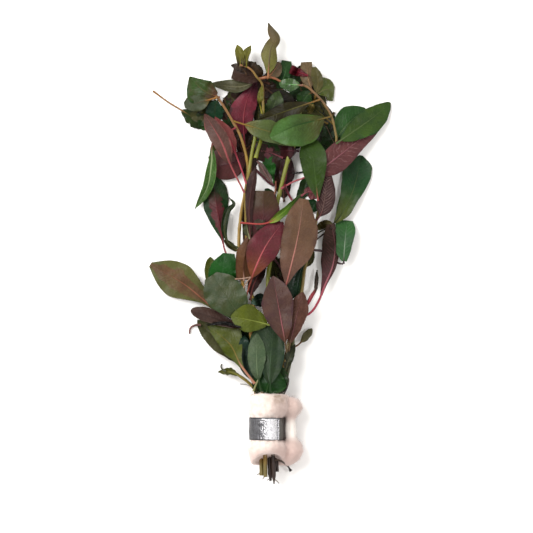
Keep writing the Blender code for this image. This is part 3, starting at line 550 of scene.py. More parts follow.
def leaf(name, route, petiole, size, hues, kind="upper", tone="green", belly=0.48, blunt=0.8, wave=0.30,
         ragged=0.0, solid=None, below=None, thin=1.0, **finish):
    """Build one leaf. petiole is that share of its length. size is its width in mm, or for an odd outline
    the half-widths in mm of its left and right side, from foot to tip. solid is the stem whose solid it
    follows, and below the height in mm that it lies under, for a leaf that is in no solid."""
    curve, lengths = smooth_route(route)
    length = lengths[-1]
    seed = seed_of(name)
    odd = isinstance(size, tuple)
    width = 2 * max(*size[0], *size[1]) if odd else size
    runs = [smooth_run(side) for side in size] if odd else []
    shares = np.linspace(0, 1, STATIONS)
    half = blade_half_width((shares - petiole) / (1 - petiole), width, belly, blunt)
    offsets = to_the_right(curve, lengths, shares)[:, None] * (COLUMNS[None, :] * half[:, None])[..., None]
    spots = along(curve, lengths, shares)[:, None] + offsets
    if below is None:
        sunk = np.where(shares < petiole, PETIOLE_RADIUS, BLADE_WALL)
        heights = evened(on_solid(solid or name, spots) - sunk[:, None], 1)
    else:
        heights = evened(on_pile(below * MM, spots), 1)

    def height(share, across):
        column = [np.interp(share, shares, heights[:, k]) for k in range(len(COLUMNS))]
        return float(np.interp(across, COLUMNS, column))

    def blade(u, v):
        v = (1 - CROWDED_ENDS) * v + CROWDED_ENDS * (0.5 - 0.5 * math.cos(math.pi * v))
        across = 2 * u - 1
        side = int(across > 0)
        share = petiole + (1 - petiole) * v
        if odd:
            reach = side_half_width(v, runs[side])
        else:
            reach = float(blade_half_width(v, width, belly, blunt))
        side_seed = seed + SIDE_SEEDS[side]
        uneven = UNEVEN * noise.noise(Vector((side_seed, v * UNEVEN_BUMPS, 0.7)))
        uneven += FINE_UNEVEN * noise.noise(Vector((side_seed, v * FINE_BUMPS, 4.7)))
        uneven += LOPSIDED * math.sin(seed * 1.7) * (1 if side else -1)
        near_end = min(1.0, END_SLOPE * v, END_SLOPE * (1 - v) + TIP_UNEVEN)
        reach *= 1 + uneven * (ODD_OUTLINE_UNEVEN if odd else 1.0) * near_end
        tear = noise.noise(Vector((seed, v * RAGGED_BUMPS, np.sign(across))))
        reach += ragged * MM * tear * math.sin(math.pi * v)
        spot = along(curve, lengths, share) + to_the_right(curve, lengths, share) * across * reach
        ripple = math.sin(v * LONG_RIPPLE + seed + SIDE_PHASES[side])
        ripple += SHORT_RIPPLE_SHARE * math.sin(v * SHORT_RIPPLE + 2 * seed)
        lift = wave * MM * ripple * abs(across) ** RIPPLE_TO_MARGIN * math.sin(math.pi * min(1, v * 1.05))
        lift += CRUMPLE * wave * MM * noise.noise(Vector((across * 2 + seed, v * 6, 0.3)))
        return (Vector((*spot, max(height(share, across) + lift, CLEARANCE + BLADE_WALL))), (u, v),
                (across * reach / MM, v * length * (1 - petiole) / MM))

    def rib(u, s):
        share = s * (petiole + RIB_REACH * (1 - petiole))
        v = (share - petiole) / (1 - petiole)
        radius = PETIOLE_RADIUS * thin * (1.0 if v < 0 else (1 - v) ** 0.8 * 0.9 + 0.05)
        if v < 0:
            radius *= 1.0 + FOOT_SWELL * max(0.0, 1 - share * length / PETIOLE_FOOT)
        angle = 2 * math.pi * u
        right = to_the_right(curve, lengths, share)
        spot = along(curve, lengths, share) + right * radius * math.cos(angle)
        lift = RIB_LIFT[kind] * radius * min(1.0, max(0.0, v * END_SLOPE))
        centre = max(height(share, 0.0) + lift, CLEARANCE + radius)
        return (Vector((*spot, centre + radius * math.sin(angle))), (0.5, v),
                (0.05, v * length * (1 - petiole) / MM))

    bm = bmesh.new()
    bent_grid(bm, BLADE_ACROSS, BLADE_LENGTHWISE, blade)
    bmesh.ops.recalc_face_normals(bm, faces=bm.faces)
    if sum(face.normal.z for face in bm.faces) < 0:
        bmesh.ops.reverse_faces(bm, faces=bm.faces)
    bmesh.ops.solidify(bm, geom=list(bm.faces), thickness=BLADE_WALL)
    bmesh.ops.recalc_face_normals(bm, faces=bm.faces)
    if bm.calc_volume(signed=True) < 0:
        bmesh.ops.reverse_faces(bm, faces=bm.faces)
    for face in bm.faces:
        face.material_index = 0 if face.normal.z > 0 else 1
    close_tube(bm, bent_grid(bm, TUBE_SIDES, BLADE_LENGTHWISE // 2, rib), TUBE_SIDES, LEAF_SEAM)
    skins = [leaf_finish(f"{name} skin", kind, hues, **finish), REVERSES[kind]]
    own_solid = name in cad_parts
    piece = finished(bm, f"{name}_blade" if own_solid else name, skins)
    if own_solid:
        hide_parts(name)


back = partial(leaf, kind="under")

# %% [markdown]
# ## Leaves at the upper left
#
# The leaves are listed by region. Each has the spots of its plan, the share of its length that is
# petiole, its width in millimetres, and its colours. The first region is the top of the left stem, where
# two mauve undersides hang down over their red petioles.

# %% Upper left leaves
leaf("leaf_left_loose", [(153, 91), (168, 102), (186, 113), (211, 129)], 0.5, 9,
     "#334125 #1e2619 #4c4c2c #a07850", tone="dark_green", belly=0.45, wave=0.5, ragged=2.4, end="#34522a")
leaf("leaf_left_top", [(220, 98), (204, 91), (189.5, 77)], 0.1,
     ((1, 4.3, 8.4, 8.6, 5.5, 0.4), (2.2, 5.4, 6.4, 5, 2.8, 0.4)), "#374f27 #4a4030 #5c5a3a #8a5040",
     wave=0.7, margin="#2c4a24", base="#5c4236", Base_share=0.5, Rib_width=0.3)
leaf("leaf_left_blue_green", [(219, 99), (215, 108), (216, 124)], 0.1, 9.5, "#2d4a35 #243a30 #3a4a34",
     tone="dark_green")
back("leaf_left_dark", [(249, 152), (234, 162), (211, 168)], 0.1,
     ((1, 5, 8, 8.4, 7.6, 4.2), (1, 5, 6.5, 8, 8.4, 6)), "#5a3637 #4c322e #54343a", tone="purple",
     vein="#5a3a40")
leaf("leaf_left_olive", [(217, 98), (206, 101), (184.5, 106)], 0.24,
     ((0.6, 3.6, 4.6, 4.4, 3.4, 1.2), (0.6, 2.4, 3.6, 4.2, 4.2, 1.8)), "#4d5544 #40462e #504c38 #9a6c3c",
     tone="olive", wave=0.4, base="#5c5030", Rib_width=0.3)
leaf("leaf_left_folded", [(236, 128), (214, 141), (211.5, 163), (207.5, 187), (195, 209)], 0.3, 5.6,
     "#486731 #2f5526 #9cb080 #8a3c44", belly=0.5, wave=0.25, Rib_width=0.5, margin="#5c8044")
back("leaf_left_crimson", [(246.3, 184), (239.5, 164), (229.5, 140), (215, 117)], 0.42, 8.2,
     "#844846 #723e3e #a84450 #b04c58", tone="red", belly=0.5, Rib_width=0.6, vein="#8c5250")
back("leaf_left_mauve", [(244.5, 193), (231, 166), (221, 141), (204.5, 114)], 0.36, 9.8,
     "#60463f #543a36 #a45c5c #a8585a", tone="brown", belly=0.5, blunt=0.7, Rib_width=0.6, vein="#84605a",
     margin="#7a4a46")

# %% [markdown]
# ## Leaves of the crown
#
# At the top the shoots end in young leaves, some twisted and some torn. The bright leaf that lies across
# the stems is the widest of them. It has a dark midrib and turns olive towards its foot.

# %% Crown leaves
back("leaf_crown_crimson", [(247.5, 163), (244, 138), (245, 108), (256, 79)], 0.34,
     ((1.2, 6.5, 7.8, 4.9, 2.4, 0.5), (1.2, 4.9, 5.7, 5.7, 4, 0.5)), "#742e3b #5a2c32 #8c3c44 #8a3a44",
     tone="red", vein="#7c3a42", margin="#4a2c30", end="#4a2832")
leaf("leaf_crown_grey", [(259, 80), (240, 87), (210, 84)], 0.12, 6.6, "#504f3a #403e30 #747058", tone="olive",
     margin="#4e5a40")
back("leaf_crown_brown", [(260, 80), (247, 76), (232.8, 72)], 0.06,
     ((1.5, 3.4, 3.9, 3.9, 4, 3.6), (1.5, 3.8, 5, 4.8, 4.5, 3.8)), "#44342c #3c2a28 #4c3830", tone="brown",
     wave=0.4)
leaf("leaf_crown_dark", [(264, 79), (257, 69.5), (245.5, 62.5)], 0.12,
     ((0.8, 2.2, 2.6, 2.6, 2.2, 1.4), (0.8, 2, 2.4, 2.3, 1.9, 0.9)), "#3c3026 #30301f #4a3828",
     tone="dark_green", ragged=0.8)
back("leaf_centre_dark", [(265, 88), (277, 97), (300, 112)], 0.1, 11, "#2c2422 #2c3020 #4c3a30", tone="brown")
leaf("leaf_centre_mottled", [(264, 121), (272, 110), (279, 91)], 0.14, 10, "#415030 #2c3624 #4c5a38",
     Blotches=0.9)
leaf("leaf_right_crown_dark", [(314, 92), (307, 96), (300, 108)], 0.14, 9, "#334c2a #233820 #46603a #6a4a34",
     tone="dark_green")
leaf("leaf_crown_green", [(281, 84), (285, 74), (287, 61)], 0.08,
     ((0.8, 2.6, 3.1, 3.1, 3.4, 2.8), (0.8, 2.6, 3.1, 3.1, 3, 2.4)), "#314d2b #26402a #44663c",
     tone="dark_green", wave=0.5)
back("leaf_crown_tan", [(312, 92), (308, 78), (307, 62)], 0.16,
     ((1, 3, 3.8, 3.8, 3.6, 3.2), (1, 2.6, 3, 3, 2.9, 2.7)), "#6e5e47 #5c4c36 #94785a #8a6a50", tone="olive",
     wave=0.6)
leaf("leaf_crown_wet", [(316, 95), (325, 90), (334.5, 91)], 0.12,
     ((1.5, 6.2, 7.2, 6, 4.6, 2), (1, 2.6, 4.4, 5.4, 6, 5.4)), "#55642f #5c6034 #6c6c40", wave=0.8, wet=0.25,
     Gloss=0.35)
leaf("leaf_crown_bright", [(302.5, 86), (293, 85), (279, 84)], 0.12, 6.8, "#466337 #3c5834 #74a466 #8a6050",
     belly=0.5, blunt=0.6, wet=0.2, Gloss=0.4)
back("leaf_tip_twisted", [(268, 78), (269.5, 58), (271, 48), (275, 38), (268.3, 23)], 0.08,
     ((1, 2.8, 4.8, 3.7, 2.8, 2.6, 0.3), (1, 4.2, 4.2, 2.9, 2.9, 1.4, 0.3)),
     "#64563f #5a5540 #6c6048 #a87450", tone="olive", wave=0.5, base="#74743a", Base_share=0.8,
     Rib_width=0.25)
leaf("leaf_crossing_dark", [(320, 100), (290, 110), (256, 122)], 0.14, 10, "#363322 #2a281c #5a5830 #84643a",
     tone="olive", belly=0.55)
leaf("leaf_crossing_olive", [(233.5, 121.5), (252, 127), (275, 134), (300, 145)], 0.16, 12.8,
     "#5e6d40 #4e5a36 #6c6a3c #94743c", tone="olive", belly=0.5, blunt=0.75, base="#6a6434")
leaf("leaf_crossing_bright", [(330.8, 117), (311, 122), (293, 127), (270.5, 138)], 0.12,
     ((2, 9.6, 11, 10.4, 7.4, 1.2), (1, 3.8, 5.6, 6.4, 6, 1.2)), "#4e703c #48622f #34502a #76643a",
     base="#4a4a2a", Base_share=0.68, vein="#5e8c50", Rib_width=0.45, wave=0.45, Gloss=0.45)

# %% [markdown]
# ## Leaves at the right
#
# The right stem arches over to the left at its top. Its leaves point up and out, green on their upper side,
# and the long mauve one shows its underside with raised pink veins.

# %% Right leaves
leaf("leaf_right_upper", [(336, 140), (346, 126), (365, 108)], 0.06, 15, "#34542e #3c5c32 #567046", belly=0.5,
     blunt=0.7, Rib_width=0.5)
leaf("leaf_right_broad", [(313, 236), (334, 223), (345.5, 207), (354.5, 186), (361.5, 155.5)], 0.26,
     ((0.8, 2.6, 4.4, 5.3, 6, 7, 7.9, 8.5, 8.5, 6.4, 0.8),
      (0.8, 2.5, 4, 4.1, 4.3, 5.2, 6.2, 7.1, 7.4, 6.2, 0.8)),
     "#2c4e2f #26402a #4c5c34 #33301f", tone="dark_green", base="#586030", Base_share=0.62, margin="#2f4a28")
# The pale pink veins of the next two undersides are partly their own colour and partly painted highlight on
# the raised veins.
back("leaf_right_veined", [(316.3, 221), (323, 208), (327.5, 175)], 0.12,
     ((0.6, 4, 4.2, 3.5, 3.5, 2.4), (0.6, 4.4, 5.4, 5.1, 3.8, 2.2)), "#4a3636 #3c2a2b #6c5450 #7a4a4a",
     tone="brown", belly=0.5, vein="#9c8078", Vein_amount=0.6, Vein_gap=1.7, Vein_width=0.42)
back("leaf_right_mauve", [(280.8, 189), (293, 182), (306, 177), (330, 163), (385, 119)], 0.3,
     ((0.6, 6.5, 7.4, 4.2, 2.2, 0.6), (3, 7.2, 7, 5.2, 3.6, 0.8)), "#694040 #583638 #8c5a60 #b46068",
     tone="red", vein="#a47c7c", Vein_amount=0.5, Vein_gap=3.4, Vein_width=0.5)
leaf("leaf_right_long", [(336, 144), (353, 132), (374, 117), (390.3, 102.5)], 0.08, 13.5,
     "#42592c #324c2a #5a6c42", belly=0.52, blunt=0.65, wave=0.4)
leaf("leaf_right_green", [(318, 201), (315, 176), (311, 141.5)], 0.05,
     ((0.8, 3.8, 5.9, 6.7, 6.9, 4.6), (0.8, 3.2, 5.6, 7, 7, 3.8)), "#3b5027 #33481f #46602e #a05050",
     wave=0.2, Fold=0.06)
back("leaf_right_purple", [(296, 319), (310, 313), (318.5, 301), (325, 285), (332.5, 266), (335, 245),
     (331, 224)], 0.33, ((0.6, 3, 6.4, 7.4, 6.8, 2.4), (0.6, 1, 2, 2.4, 2.6, 1.6)),
     "#46362f #3c2c29 #b07078 #a43a4c", tone="purple", base="#5c3238", Base_share=0.7, Rib_width=0.4,
     thin=1.35)
leaf("leaf_right_small", [(343.5, 264), (344.5, 245), (347, 220.5)], 0.06,
     ((1.2, 4, 4.3, 4.8, 5.7, 6.2), (1.6, 3.4, 4.4, 5, 5, 3.2)), "#456a44 #365a3a #8ca088 #3c2a2e",
     Rib_width=0.3, end="#3c6438")

# %% [markdown]
# ## Leaves in the middle
#
# The middle of the bunch shows mostly undersides: brown, mauve and crimson blades with pink midribs,
# overlapping like roof tiles. Two narrow dark leaves fill the gaps between them.

# %% Middle leaves
back("leaf_middle_dark", [(280, 195), (286, 178), (287, 152)], 0.14, 9, "#3a2628 #2c2022 #84404a",
     tone="purple")
back("leaf_left_red_back", [(241.5, 270), (226.5, 254), (222, 236), (217, 208), (213, 180)], 0.34, 12.4,
     "#653438 #4c2c32 #6c3438 #94424c", tone="red", belly=0.66, blunt=0.6, margin="#1e3c22",
     Margin_share=0.52, end="#163820")
back("leaf_centre_narrow", [(250.5, 241), (249.5, 205), (256, 167)], 0.1,
     ((0.8, 1.4, 2.1, 2.9, 3.1, 0.3), (0.8, 1.6, 1.9, 2, 1.8, 0.3)), "#432d2b #332322 #5c3c38", tone="purple",
     wave=0.15, below=15)
back("leaf_centre_purple", [(250, 263), (262, 238), (263.5, 191)], 0.08,
     ((0.8, 5.6, 8.4, 8.8, 7.4, 4.6), (0.8, 5.6, 8.6, 9, 8.2, 5.2)), "#60363a #533234 #643f42", tone="brown",
     belly=0.6, blunt=0.42, base="#48503a", Base_share=0.5, vein="#68484a", end="#4a3c2c")
back("leaf_centre_brown", [(244, 281), (244, 262), (249, 236.5)], 0.03,
     ((4, 4.1, 4.1, 4.6, 3.2, 0.6), (3.4, 3.8, 3.8, 3.8, 3.4, 0.6)), "#634530 #523628 #5a3a2c #c89a88",
     tone="brown", Rib_width=0.3)
back("leaf_centre_crimson", [(245.2, 300), (254, 272), (266, 246), (283, 222)], 0.26, 15.5,
     "#6c343c #603a38 #c46468 #8c4a3c", tone="red", belly=0.52, blunt=0.75, vein="#84484a", Rib_width=0.5,
     wave=0.45, base="#74462f", Base_share=0.5)
leaf("leaf_centre_strip", [(240.2, 223), (266, 223.5), (284, 212), (301, 194)], 0.4, 4.6,
     "#54742c #44601f #6c8c38 #b0504c", belly=0.4, wave=0.15, base="#8c9c40", Base_share=0.45, Rib_width=0.3,
     end="#2c3c20")
leaf("leaf_middle_hanging", [(306, 261), (300, 272), (295.5, 298)], 0.1,
     ((0.5, 0.8, 0.8, 0.8, 1, 0.5), (0.5, 3.2, 4.6, 6, 4, 0.5)), "#253227 #25392c #34463a", tone="dark_green",
     Gloss=0.32)
back("leaf_middle_broad", [(270, 317), (282, 297), (292, 262), (299, 230), (303.5, 199)], 0.3,
     ((0.8, 5.2, 7.4, 8.4, 8.2, 6.8, 2.4), (0.8, 3.6, 8.4, 10.4, 9.6, 6.2, 2.4)),
     "#6f5542 #644a3e #c08478 #a4605a", tone="brown", base="#70544a", Base_share=0.6, vein="#7c6452",
     Rib_width=0.42, wave=0.4)
back("leaf_middle_red_brown", [(288.5, 351), (293, 330), (303, 292)], 0.12, 11.5,
     "#65453a #523830 #70484a #5c4a34", tone="brown", belly=0.55, blunt=0.7, margin="#6a443c")
back("leaf_middle_mauve", [(286.8, 352), (282, 325), (273, 276)], 0.12, 16.5,
     "#5b443d #50393c #9a6064 #5c4a34", tone="brown", belly=0.56, blunt=0.75, vein="#6a5450", Rib_width=0.36,
     base="#56382f")

# %% [markdown]
# ## Leaves at the lower left and foot
#
# Just above the wool the leaves are older: dark, glossy and wrinkled, with one yellowing and one rolled up
# brown.

# %% Lower leaves
leaf("leaf_left_round", [(244, 303), (229, 289), (223, 272), (224.5, 253)], 0.2,
     ((0.8, 5, 8, 7.6, 5, 0.8), (0.8, 5, 7.4, 7.4, 7.2, 5.6)), "#2a5828 #244e20 #3c6a38", wave=0.5)
leaf("leaf_left_oval", [(249, 327), (228, 319), (208.5, 304), (184, 284), (150.4, 264.4)], 0.3,
     ((0.6, 1.8, 6, 9.2, 7.2, 1.4), (0.6, 4, 6.6, 10, 8, 1.4)), "#6a5a3e #6a4c3a #94604c #b8766a",
     tone="olive", margin="#60613a", Margin_share=0.5, Rib_width=0.4, wave=0.4, vein="#5c4c34", Blotches=0.8)
leaf("leaf_foot_outer", [(255, 385), (245, 366), (235, 353.5), (214.5, 337), (197.5, 320)], 0.26, 12.4,
     "#4c4c30 #3e4228 #6a6438 #a47460", tone="olive", belly=0.5, blunt=0.7)
leaf("leaf_foot_collar", [(266, 394), (268, 385), (272, 367)], 0.06, 15.5, "#264624 #34562c #3e5c34",
     belly=0.4, blunt=0.55, wave=0.5)
leaf("leaf_foot_dark", [(270.5, 393), (270, 365), (273, 326)], 0.14,
     ((0.8, 4, 6.5, 10, 11, 6), (0.8, 5.2, 7, 7.4, 6.4, 3.6)), "#364630 #2c3c30 #465a42 #2c4428",
     tone="dark_green", Gloss=0.5, wave=0.5, Fold=0.05)
leaf("leaf_foot_grey", [(261.3, 391), (257, 368), (257, 333)], 0.2, 10, "#526248 #465c44 #6e8060 #34482c",
     tone="dark_green", belly=0.5, blunt=0.7, margin="#3e4e38", Gloss=0.5, Fold=0.1)
leaf("leaf_foot_yellow", [(254.7, 383), (240.5, 364), (230, 344), (208, 326)], 0.26,
     ((0.8, 2.6, 5.4, 4.6, 2.8, 0.6), (0.8, 2.6, 5.8, 10.2, 5, 0.6)), "#565e2a #465024 #7c6c38 #b07c64",
     tone="olive", belly=0.5, blunt=0.7, vein="#6a6c36", Rib_width=0.3, thin=1.4)
back("leaf_left_rolled", [(249.5, 332), (236, 327), (215, 318), (191, 310)], 0.22, 7.4,
     "#54423c #44322e #3c2c28", tone="brown", belly=0.6, blunt=0.42, margin="#5a4c44", base="#3a2a28",
     Base_share=0.5)
leaf("leaf_left_glossy", [(248.5, 324), (237.5, 312), (225, 293), (213, 274.5)], 0.1,
     ((0.8, 5.4, 9, 10.8, 10.4, 5.2), (0.8, 7, 10, 10, 8.4, 2.6)), "#484f34 #3e4c32 #505a3e", tone="olive",
     Gloss=0.4, wet=0.05, wave=0.6, Blotches=0.8)
leaf("leaf_middle_yellow", [(270, 325), (255, 321), (231, 316)], 0.06, 14.5, "#60692a #525e28 #94a050",
     tone="olive", belly=0.5, blunt=0.7, vein="#748040", Vein_amount=0.5, Gloss=0.45)

# %% [markdown]
# ## Small parts grown on the stems
#
# Each stem solid has its small shoots fused to it. Here they are leaves of their own, read from the same
# solid: the two bud leaves and the curled leaf at the top, the hooked leaf on the left and the bud on its
# red petiole.

# %% Grown parts
leaf("leaf_hooked", [(239.2, 248), (229, 243), (224.5, 230), (228, 212), (234, 204), (229, 197.5)], 0.2, 3.6,
     "#2c3a22 #262c1c #44482c", solid="stem_left", wave=0.1)
leaf("stub_torn", [(254.8, 388), (243, 378), (231, 372), (218, 372)], 0.4, 3.8,
     "#565826 #44461f #7c7a38 #8a7a3c", belly=0.6, solid="stem_left", ragged=0.8, thin=1.8)
leaf("bud_right", [(297.6, 311), (306, 305), (311.5, 296), (315.8, 288), (317, 270)], 0.5, 2.4,
     "#33302a #2c2a22 #4a403a #98424a", belly=0.5, solid="stem_right", thin=2.2)
leaf("leaf_spatula", [(292.3, 348), (299, 344), (305, 337), (312, 328.5)], 0.35, 4.2,
     "#605d43 #4e4c36 #6a6444 #7a5a44", belly=0.55, blunt=0.6, solid="stem_right_short")
back("leaf_curled", [(267, 79), (273, 72), (280, 62.5)], 0.1, 8, "#6c5846 #5c5a44 #a87a58 #b07a50", blunt=0.6,
     solid="stem_crown", wave=0.4)
leaf("bud_leaf_left", [(240.5, 67), (240, 58), (237.2, 45)], 0.04,
     ((1.6, 1.9, 2.1, 2.2, 1.7, 0.2), (2, 2.2, 2.3, 2.6, 2.2, 0.2)), "#6c6a30 #6a6a34 #74702f",
     solid="stem_crown", base="#34281c", Base_share=0.6, Rib_width=0.3)
leaf("bud_leaf_right", [(246.5, 68), (247, 58), (250.7, 45.8)], 0.04,
     ((2, 2.2, 2.4, 2.7, 2, 0.2), (1, 1, 1, 1.2, 1.2, 0.2)), "#6c6a32 #686830 #74702f", solid="stem_crown",
     base="#34281c", Base_share=0.6, Rib_width=0.3)

# %% [markdown]
# ## Small leaves inside the pile
#
# Where the big leaves leave gaps, small ones show between them. They have no solid of their own, so each
# lies on the first thing below it.

# %% Small leaves
def small(name, route, below, size, hues, petiole=0.1, **more):
    """Build a small leaf that lies on the pile under a height in mm."""
    leaf(f"leaf_small_{name}", route, petiole, size, hues, below=below, **more)


small("bud", [(247, 75), (242, 69), (231, 65)], 9, 4.4, "#3a2e24 #2c261c #4c3a2c", ragged=1.2)
small("crimson", [(308, 76), (299, 72.5), (290.5, 69)], 12,
      ((0.6, 1.5, 2, 2.5, 2.7, 2.4), (0.6, 1.2, 1.8, 2.2, 2.4, 2.2)), "#62222b #521c28 #7c2c38", kind="under",
      tone="red", petiole=0.05)
small("olive", [(316, 95), (318, 82), (315, 67)], 8,
      ((1, 2.5, 3.2, 3.2, 2.8, 1.6), (1, 2.4, 2.8, 2.6, 1.8, 0.5)), "#5a5636 #4a4a2e #6c6440")
small("tan", [(316, 95), (312, 106), (307, 117)], 9, 4.2, "#6e6438 #5a5430 #8a7a48 #a08048", petiole=0.35)
small("shoot", [(262, 114), (260, 102), (262, 86)], 10, 3.2, "#6c6a30 #55592a #848040 #8a8438", petiole=0.3)
small("red", [(301, 196), (309, 192), (321, 195)], 9, 6.6, "#8c5658 #6c4044 #a86068 #b0646c", kind="under",
      tone="red", vein="#8c5c60", Vein_amount=0.6, Vein_gap=1.4, blunt=0.5, petiole=0.2)
small("dark", [(300, 201), (310, 205), (320, 209)], 7, 7.6, "#27452a #203a24 #3c5638")
small("brown", [(335, 225), (326, 223.5), (315, 230)], 9, 4.2, "#524a2c #463c26 #5a5436")
small("mauve", [(283, 158), (274, 154), (261, 150)], 10.6, 6.5, "#7a4a50 #5c3a40 #8c5058", kind="under",
      tone="purple", base="#3c2a28", wave=0.1, petiole=0.15)
small("green", [(274, 183), (272, 172), (269.5, 157)], 7,
      ((0.4, 0.8, 2, 3, 4.2, 4.6), (0.4, 1, 1.8, 2.4, 2.9, 3)), "#33612e #245024 #3c6a38")
small("pale", [(273, 185), (267, 175), (258, 161)], 7, 4.8, "#95857c #7c655e #6a4444", kind="under",
      tone="purple", vein="#6a4c4a", Vein_amount=0.6, Vein_gap=1.2)
small("black", [(269, 303), (262, 299), (251, 303)], 10.5, 7, "#3e5446 #26342c #7c8c7e", ragged=0.6)
small("umber", [(250, 300), (254, 284), (266, 262)], 10.5, 7.5, "#3a2722 #2c2220 #6a3a38", kind="under",
      tone="brown")
small("edge", [(284.5, 373), (288.5, 360), (295, 344)], 12, 4.6, "#33382a #2a2c20 #4a4c34")
small("under", [(255, 386), (247, 362), (243, 333)], 10.5, 8.6, "#2c3d34 #24332c #3c4e40")
small("tip", [(222, 290), (211.5, 275), (210, 257)], 6, 8.2, "#56602c #465024 #6c6a34", tone="olive",
      blunt=0.6)
small("backing", [(318, 96), (326, 120), (318, 143)], 6, 8, "#2a2c24 #34362a #40402e")
small("mottled", [(250, 239), (248, 232), (246, 223)], 16, 4.6, "#4c5038 #2a2c1e #8c8c68", ragged=0.8)
small("lobed", [(267, 230), (261, 226), (254, 221)], 16, 6.4, "#4a4c3c #54383a #5c5c4c", tone="purple",
      ragged=1.4)
# A near-black strip built as a small leaf: painted shadow under the edge of the leaf above.
small("slit", [(241, 327), (224, 323), (207, 325)], 16, 1.9, "#140f0e #1c1614 #1c1614", tone="purple",
      petiole=0.05)
small("shade", [(299, 151), (291, 151), (277, 150.5)], 9, 9, "#42282a #33231f #5a343a", kind="under",
      tone="purple")
print("small leaves laid in the gaps")

# %% [markdown]
# ## Dark leaves deep in the pile
#
# Looking into the crown, the gaps between leaves are filled by others that lie deeper and get little light.
# They are plain and dark, slightly bent, and rest near the surface under everything else. Only the two
# collar leaves at the foot lie higher, on what is below them there.

# %% Deep leaves
DEEP_GREEN = "#2c4428 #2f3420 #3c4c2c #5a4a34"
DEEP_BROWN = "#3c2c26 #302820 #4c3830 #6a4438"
DEEP_OLIVE = "#47462a #36381f #565430 #7a6438"
DEEP_BEND = 1.5
DEEP_PETIOLE = 0.08
DEEP_HEIGHT = 1.0
DEEP_LEAVES = [
    ("crown_left", (283, 90), (257, 86), 9.5, DEEP_BROWN),
    ("crown_middle", (319, 98), (288, 84), 10, DEEP_GREEN),
    ("crown_right", (333, 124), (302, 98), 10.5, DEEP_OLIVE),
    ("crown_low", (302, 126), (256, 106), 13, DEEP_GREEN),
    ("crown_back", (270, 84), (246, 74), 8, DEEP_BROWN),
    ("arch", (334, 112), (320, 144), 8.5, DEEP_GREEN),
    ("left_brown", (246, 128), (229, 92), 8, DEEP_OLIVE),
    ("left_green", (224, 98), (234, 127), 9.5, DEEP_GREEN),
    ("left_outer", (216, 100), (191, 118), 12, DEEP_OLIVE),
    ("left_edge", (206, 96), (200, 126), 9, DEEP_GREEN),
    ("stems", (247, 184), (239, 134), 6.5, DEEP_BROWN),
    ("crimson", (259, 130), (255, 88), 7.5, DEEP_OLIVE),
    ("across", (293, 150), (249, 151), 10.5, DEEP_BROWN),
    ("olive", (277, 284), (271, 254), 7.5, DEEP_OLIVE),
    ("hanging", (302, 262), (292, 298), 6.5, DEEP_GREEN),
    ("foot_left", (258, 393), (248, 334), 9.5, DEEP_GREEN),
    ("foot_middle", (262, 393), (272, 330), 13, DEEP_GREEN),
    ("collar_left", (255, 395), (259, 368), 8.5, DEEP_GREEN, 12),
    ("collar_right", (279, 396), (280, 366), 8, DEEP_GREEN, 12),
    ("shadow", (251, 141), (301, 146), 7.5, DEEP_GREEN),
    ("beside", (284, 202), (279, 157), 9.5, DEEP_BROWN),
    ("top_right", (318, 92), (299, 66), 9, DEEP_BROWN),
    ("top", (286, 90), (268, 70), 8, DEEP_GREEN),
    ("gap", (246, 150), (262, 128), 7, DEEP_BROWN),
    ("lower", (262, 345), (240, 318), 10, DEEP_GREEN),
    ("gap_left", (252, 91), (223, 102), 9, DEEP_BROWN),
    ("fork", (262, 94), (269, 72), 6.5, DEEP_BROWN),
    ("top_middle", (302, 92), (291, 67), 8, DEEP_GREEN),
    ("between", (251, 176), (251, 130), 8.5, DEEP_BROWN),
    ("left_dark", (228, 162), (213, 141), 8, DEEP_OLIVE),
    ("beside_right", (296, 204), (307, 177), 6.5, DEEP_GREEN),
    ("arch_low", (338, 150), (312, 138), 8, DEEP_GREEN),
    ("stem_gap", (244, 248), (244, 195), 4, DEEP_BROWN),
    ("petioles", (246, 152), (241, 118), 8.5, DEEP_BROWN),
    ("joint", (327, 109), (309, 91), 7.5, DEEP_OLIVE),
    ("crossing", (328, 124), (292, 103), 10, DEEP_OLIVE),
    ("node", (345, 145), (326, 131), 8, DEEP_GREEN),
    ("crown_gap", (302, 104), (258, 96), 8, DEEP_BROWN),
    ("middle", (289, 300), (279, 258), 7.5, DEEP_BROWN),
    ("left_inner", (243, 152), (223, 112), 8, DEEP_BROWN),
    ("patch", (277, 200), (265, 189), 4.5, DEEP_GREEN),
    ("hook", (239, 252), (224, 240), 3.2, DEEP_OLIVE),
    ("right_stem", (305, 268), (313, 250), 3.4, DEEP_OLIVE),
    ("left_behind", (224, 214), (215, 177), 7.5, DEEP_GREEN),
]
for name, foot, tip, width, hues, *raised in DEEP_LEAVES:
    middle = ((foot[0] + tip[0]) / 2 + DEEP_BEND, (foot[1] + tip[1]) / 2 + DEEP_BEND)
    leaf(f"leaf_deep_{name}", [foot, middle, tip], DEEP_PETIOLE, width, hues, belly=0.52, blunt=0.5,
         below=(*raised, DEEP_HEIGHT)[0])
print(len(DEEP_LEAVES), "deep leaves laid")

# %% [markdown]
# ## Stems
#
# A stem of this plant is round and slightly ribbed, swollen at each node, where a pair of leaves leaves it.
# It runs from green or yellow-green at the top to orange-brown below, and its cut end has gone dark in the
# water. The grid helper bends a tube, its radius swelling at the nodes.

# %% Stem skin
STREAK_SCALE = (1.6, 0.12, 1.0)
STEM_GRAIN = 160
STEM_BUMP = 0.10 * MM
CUT_FADE = 0.03


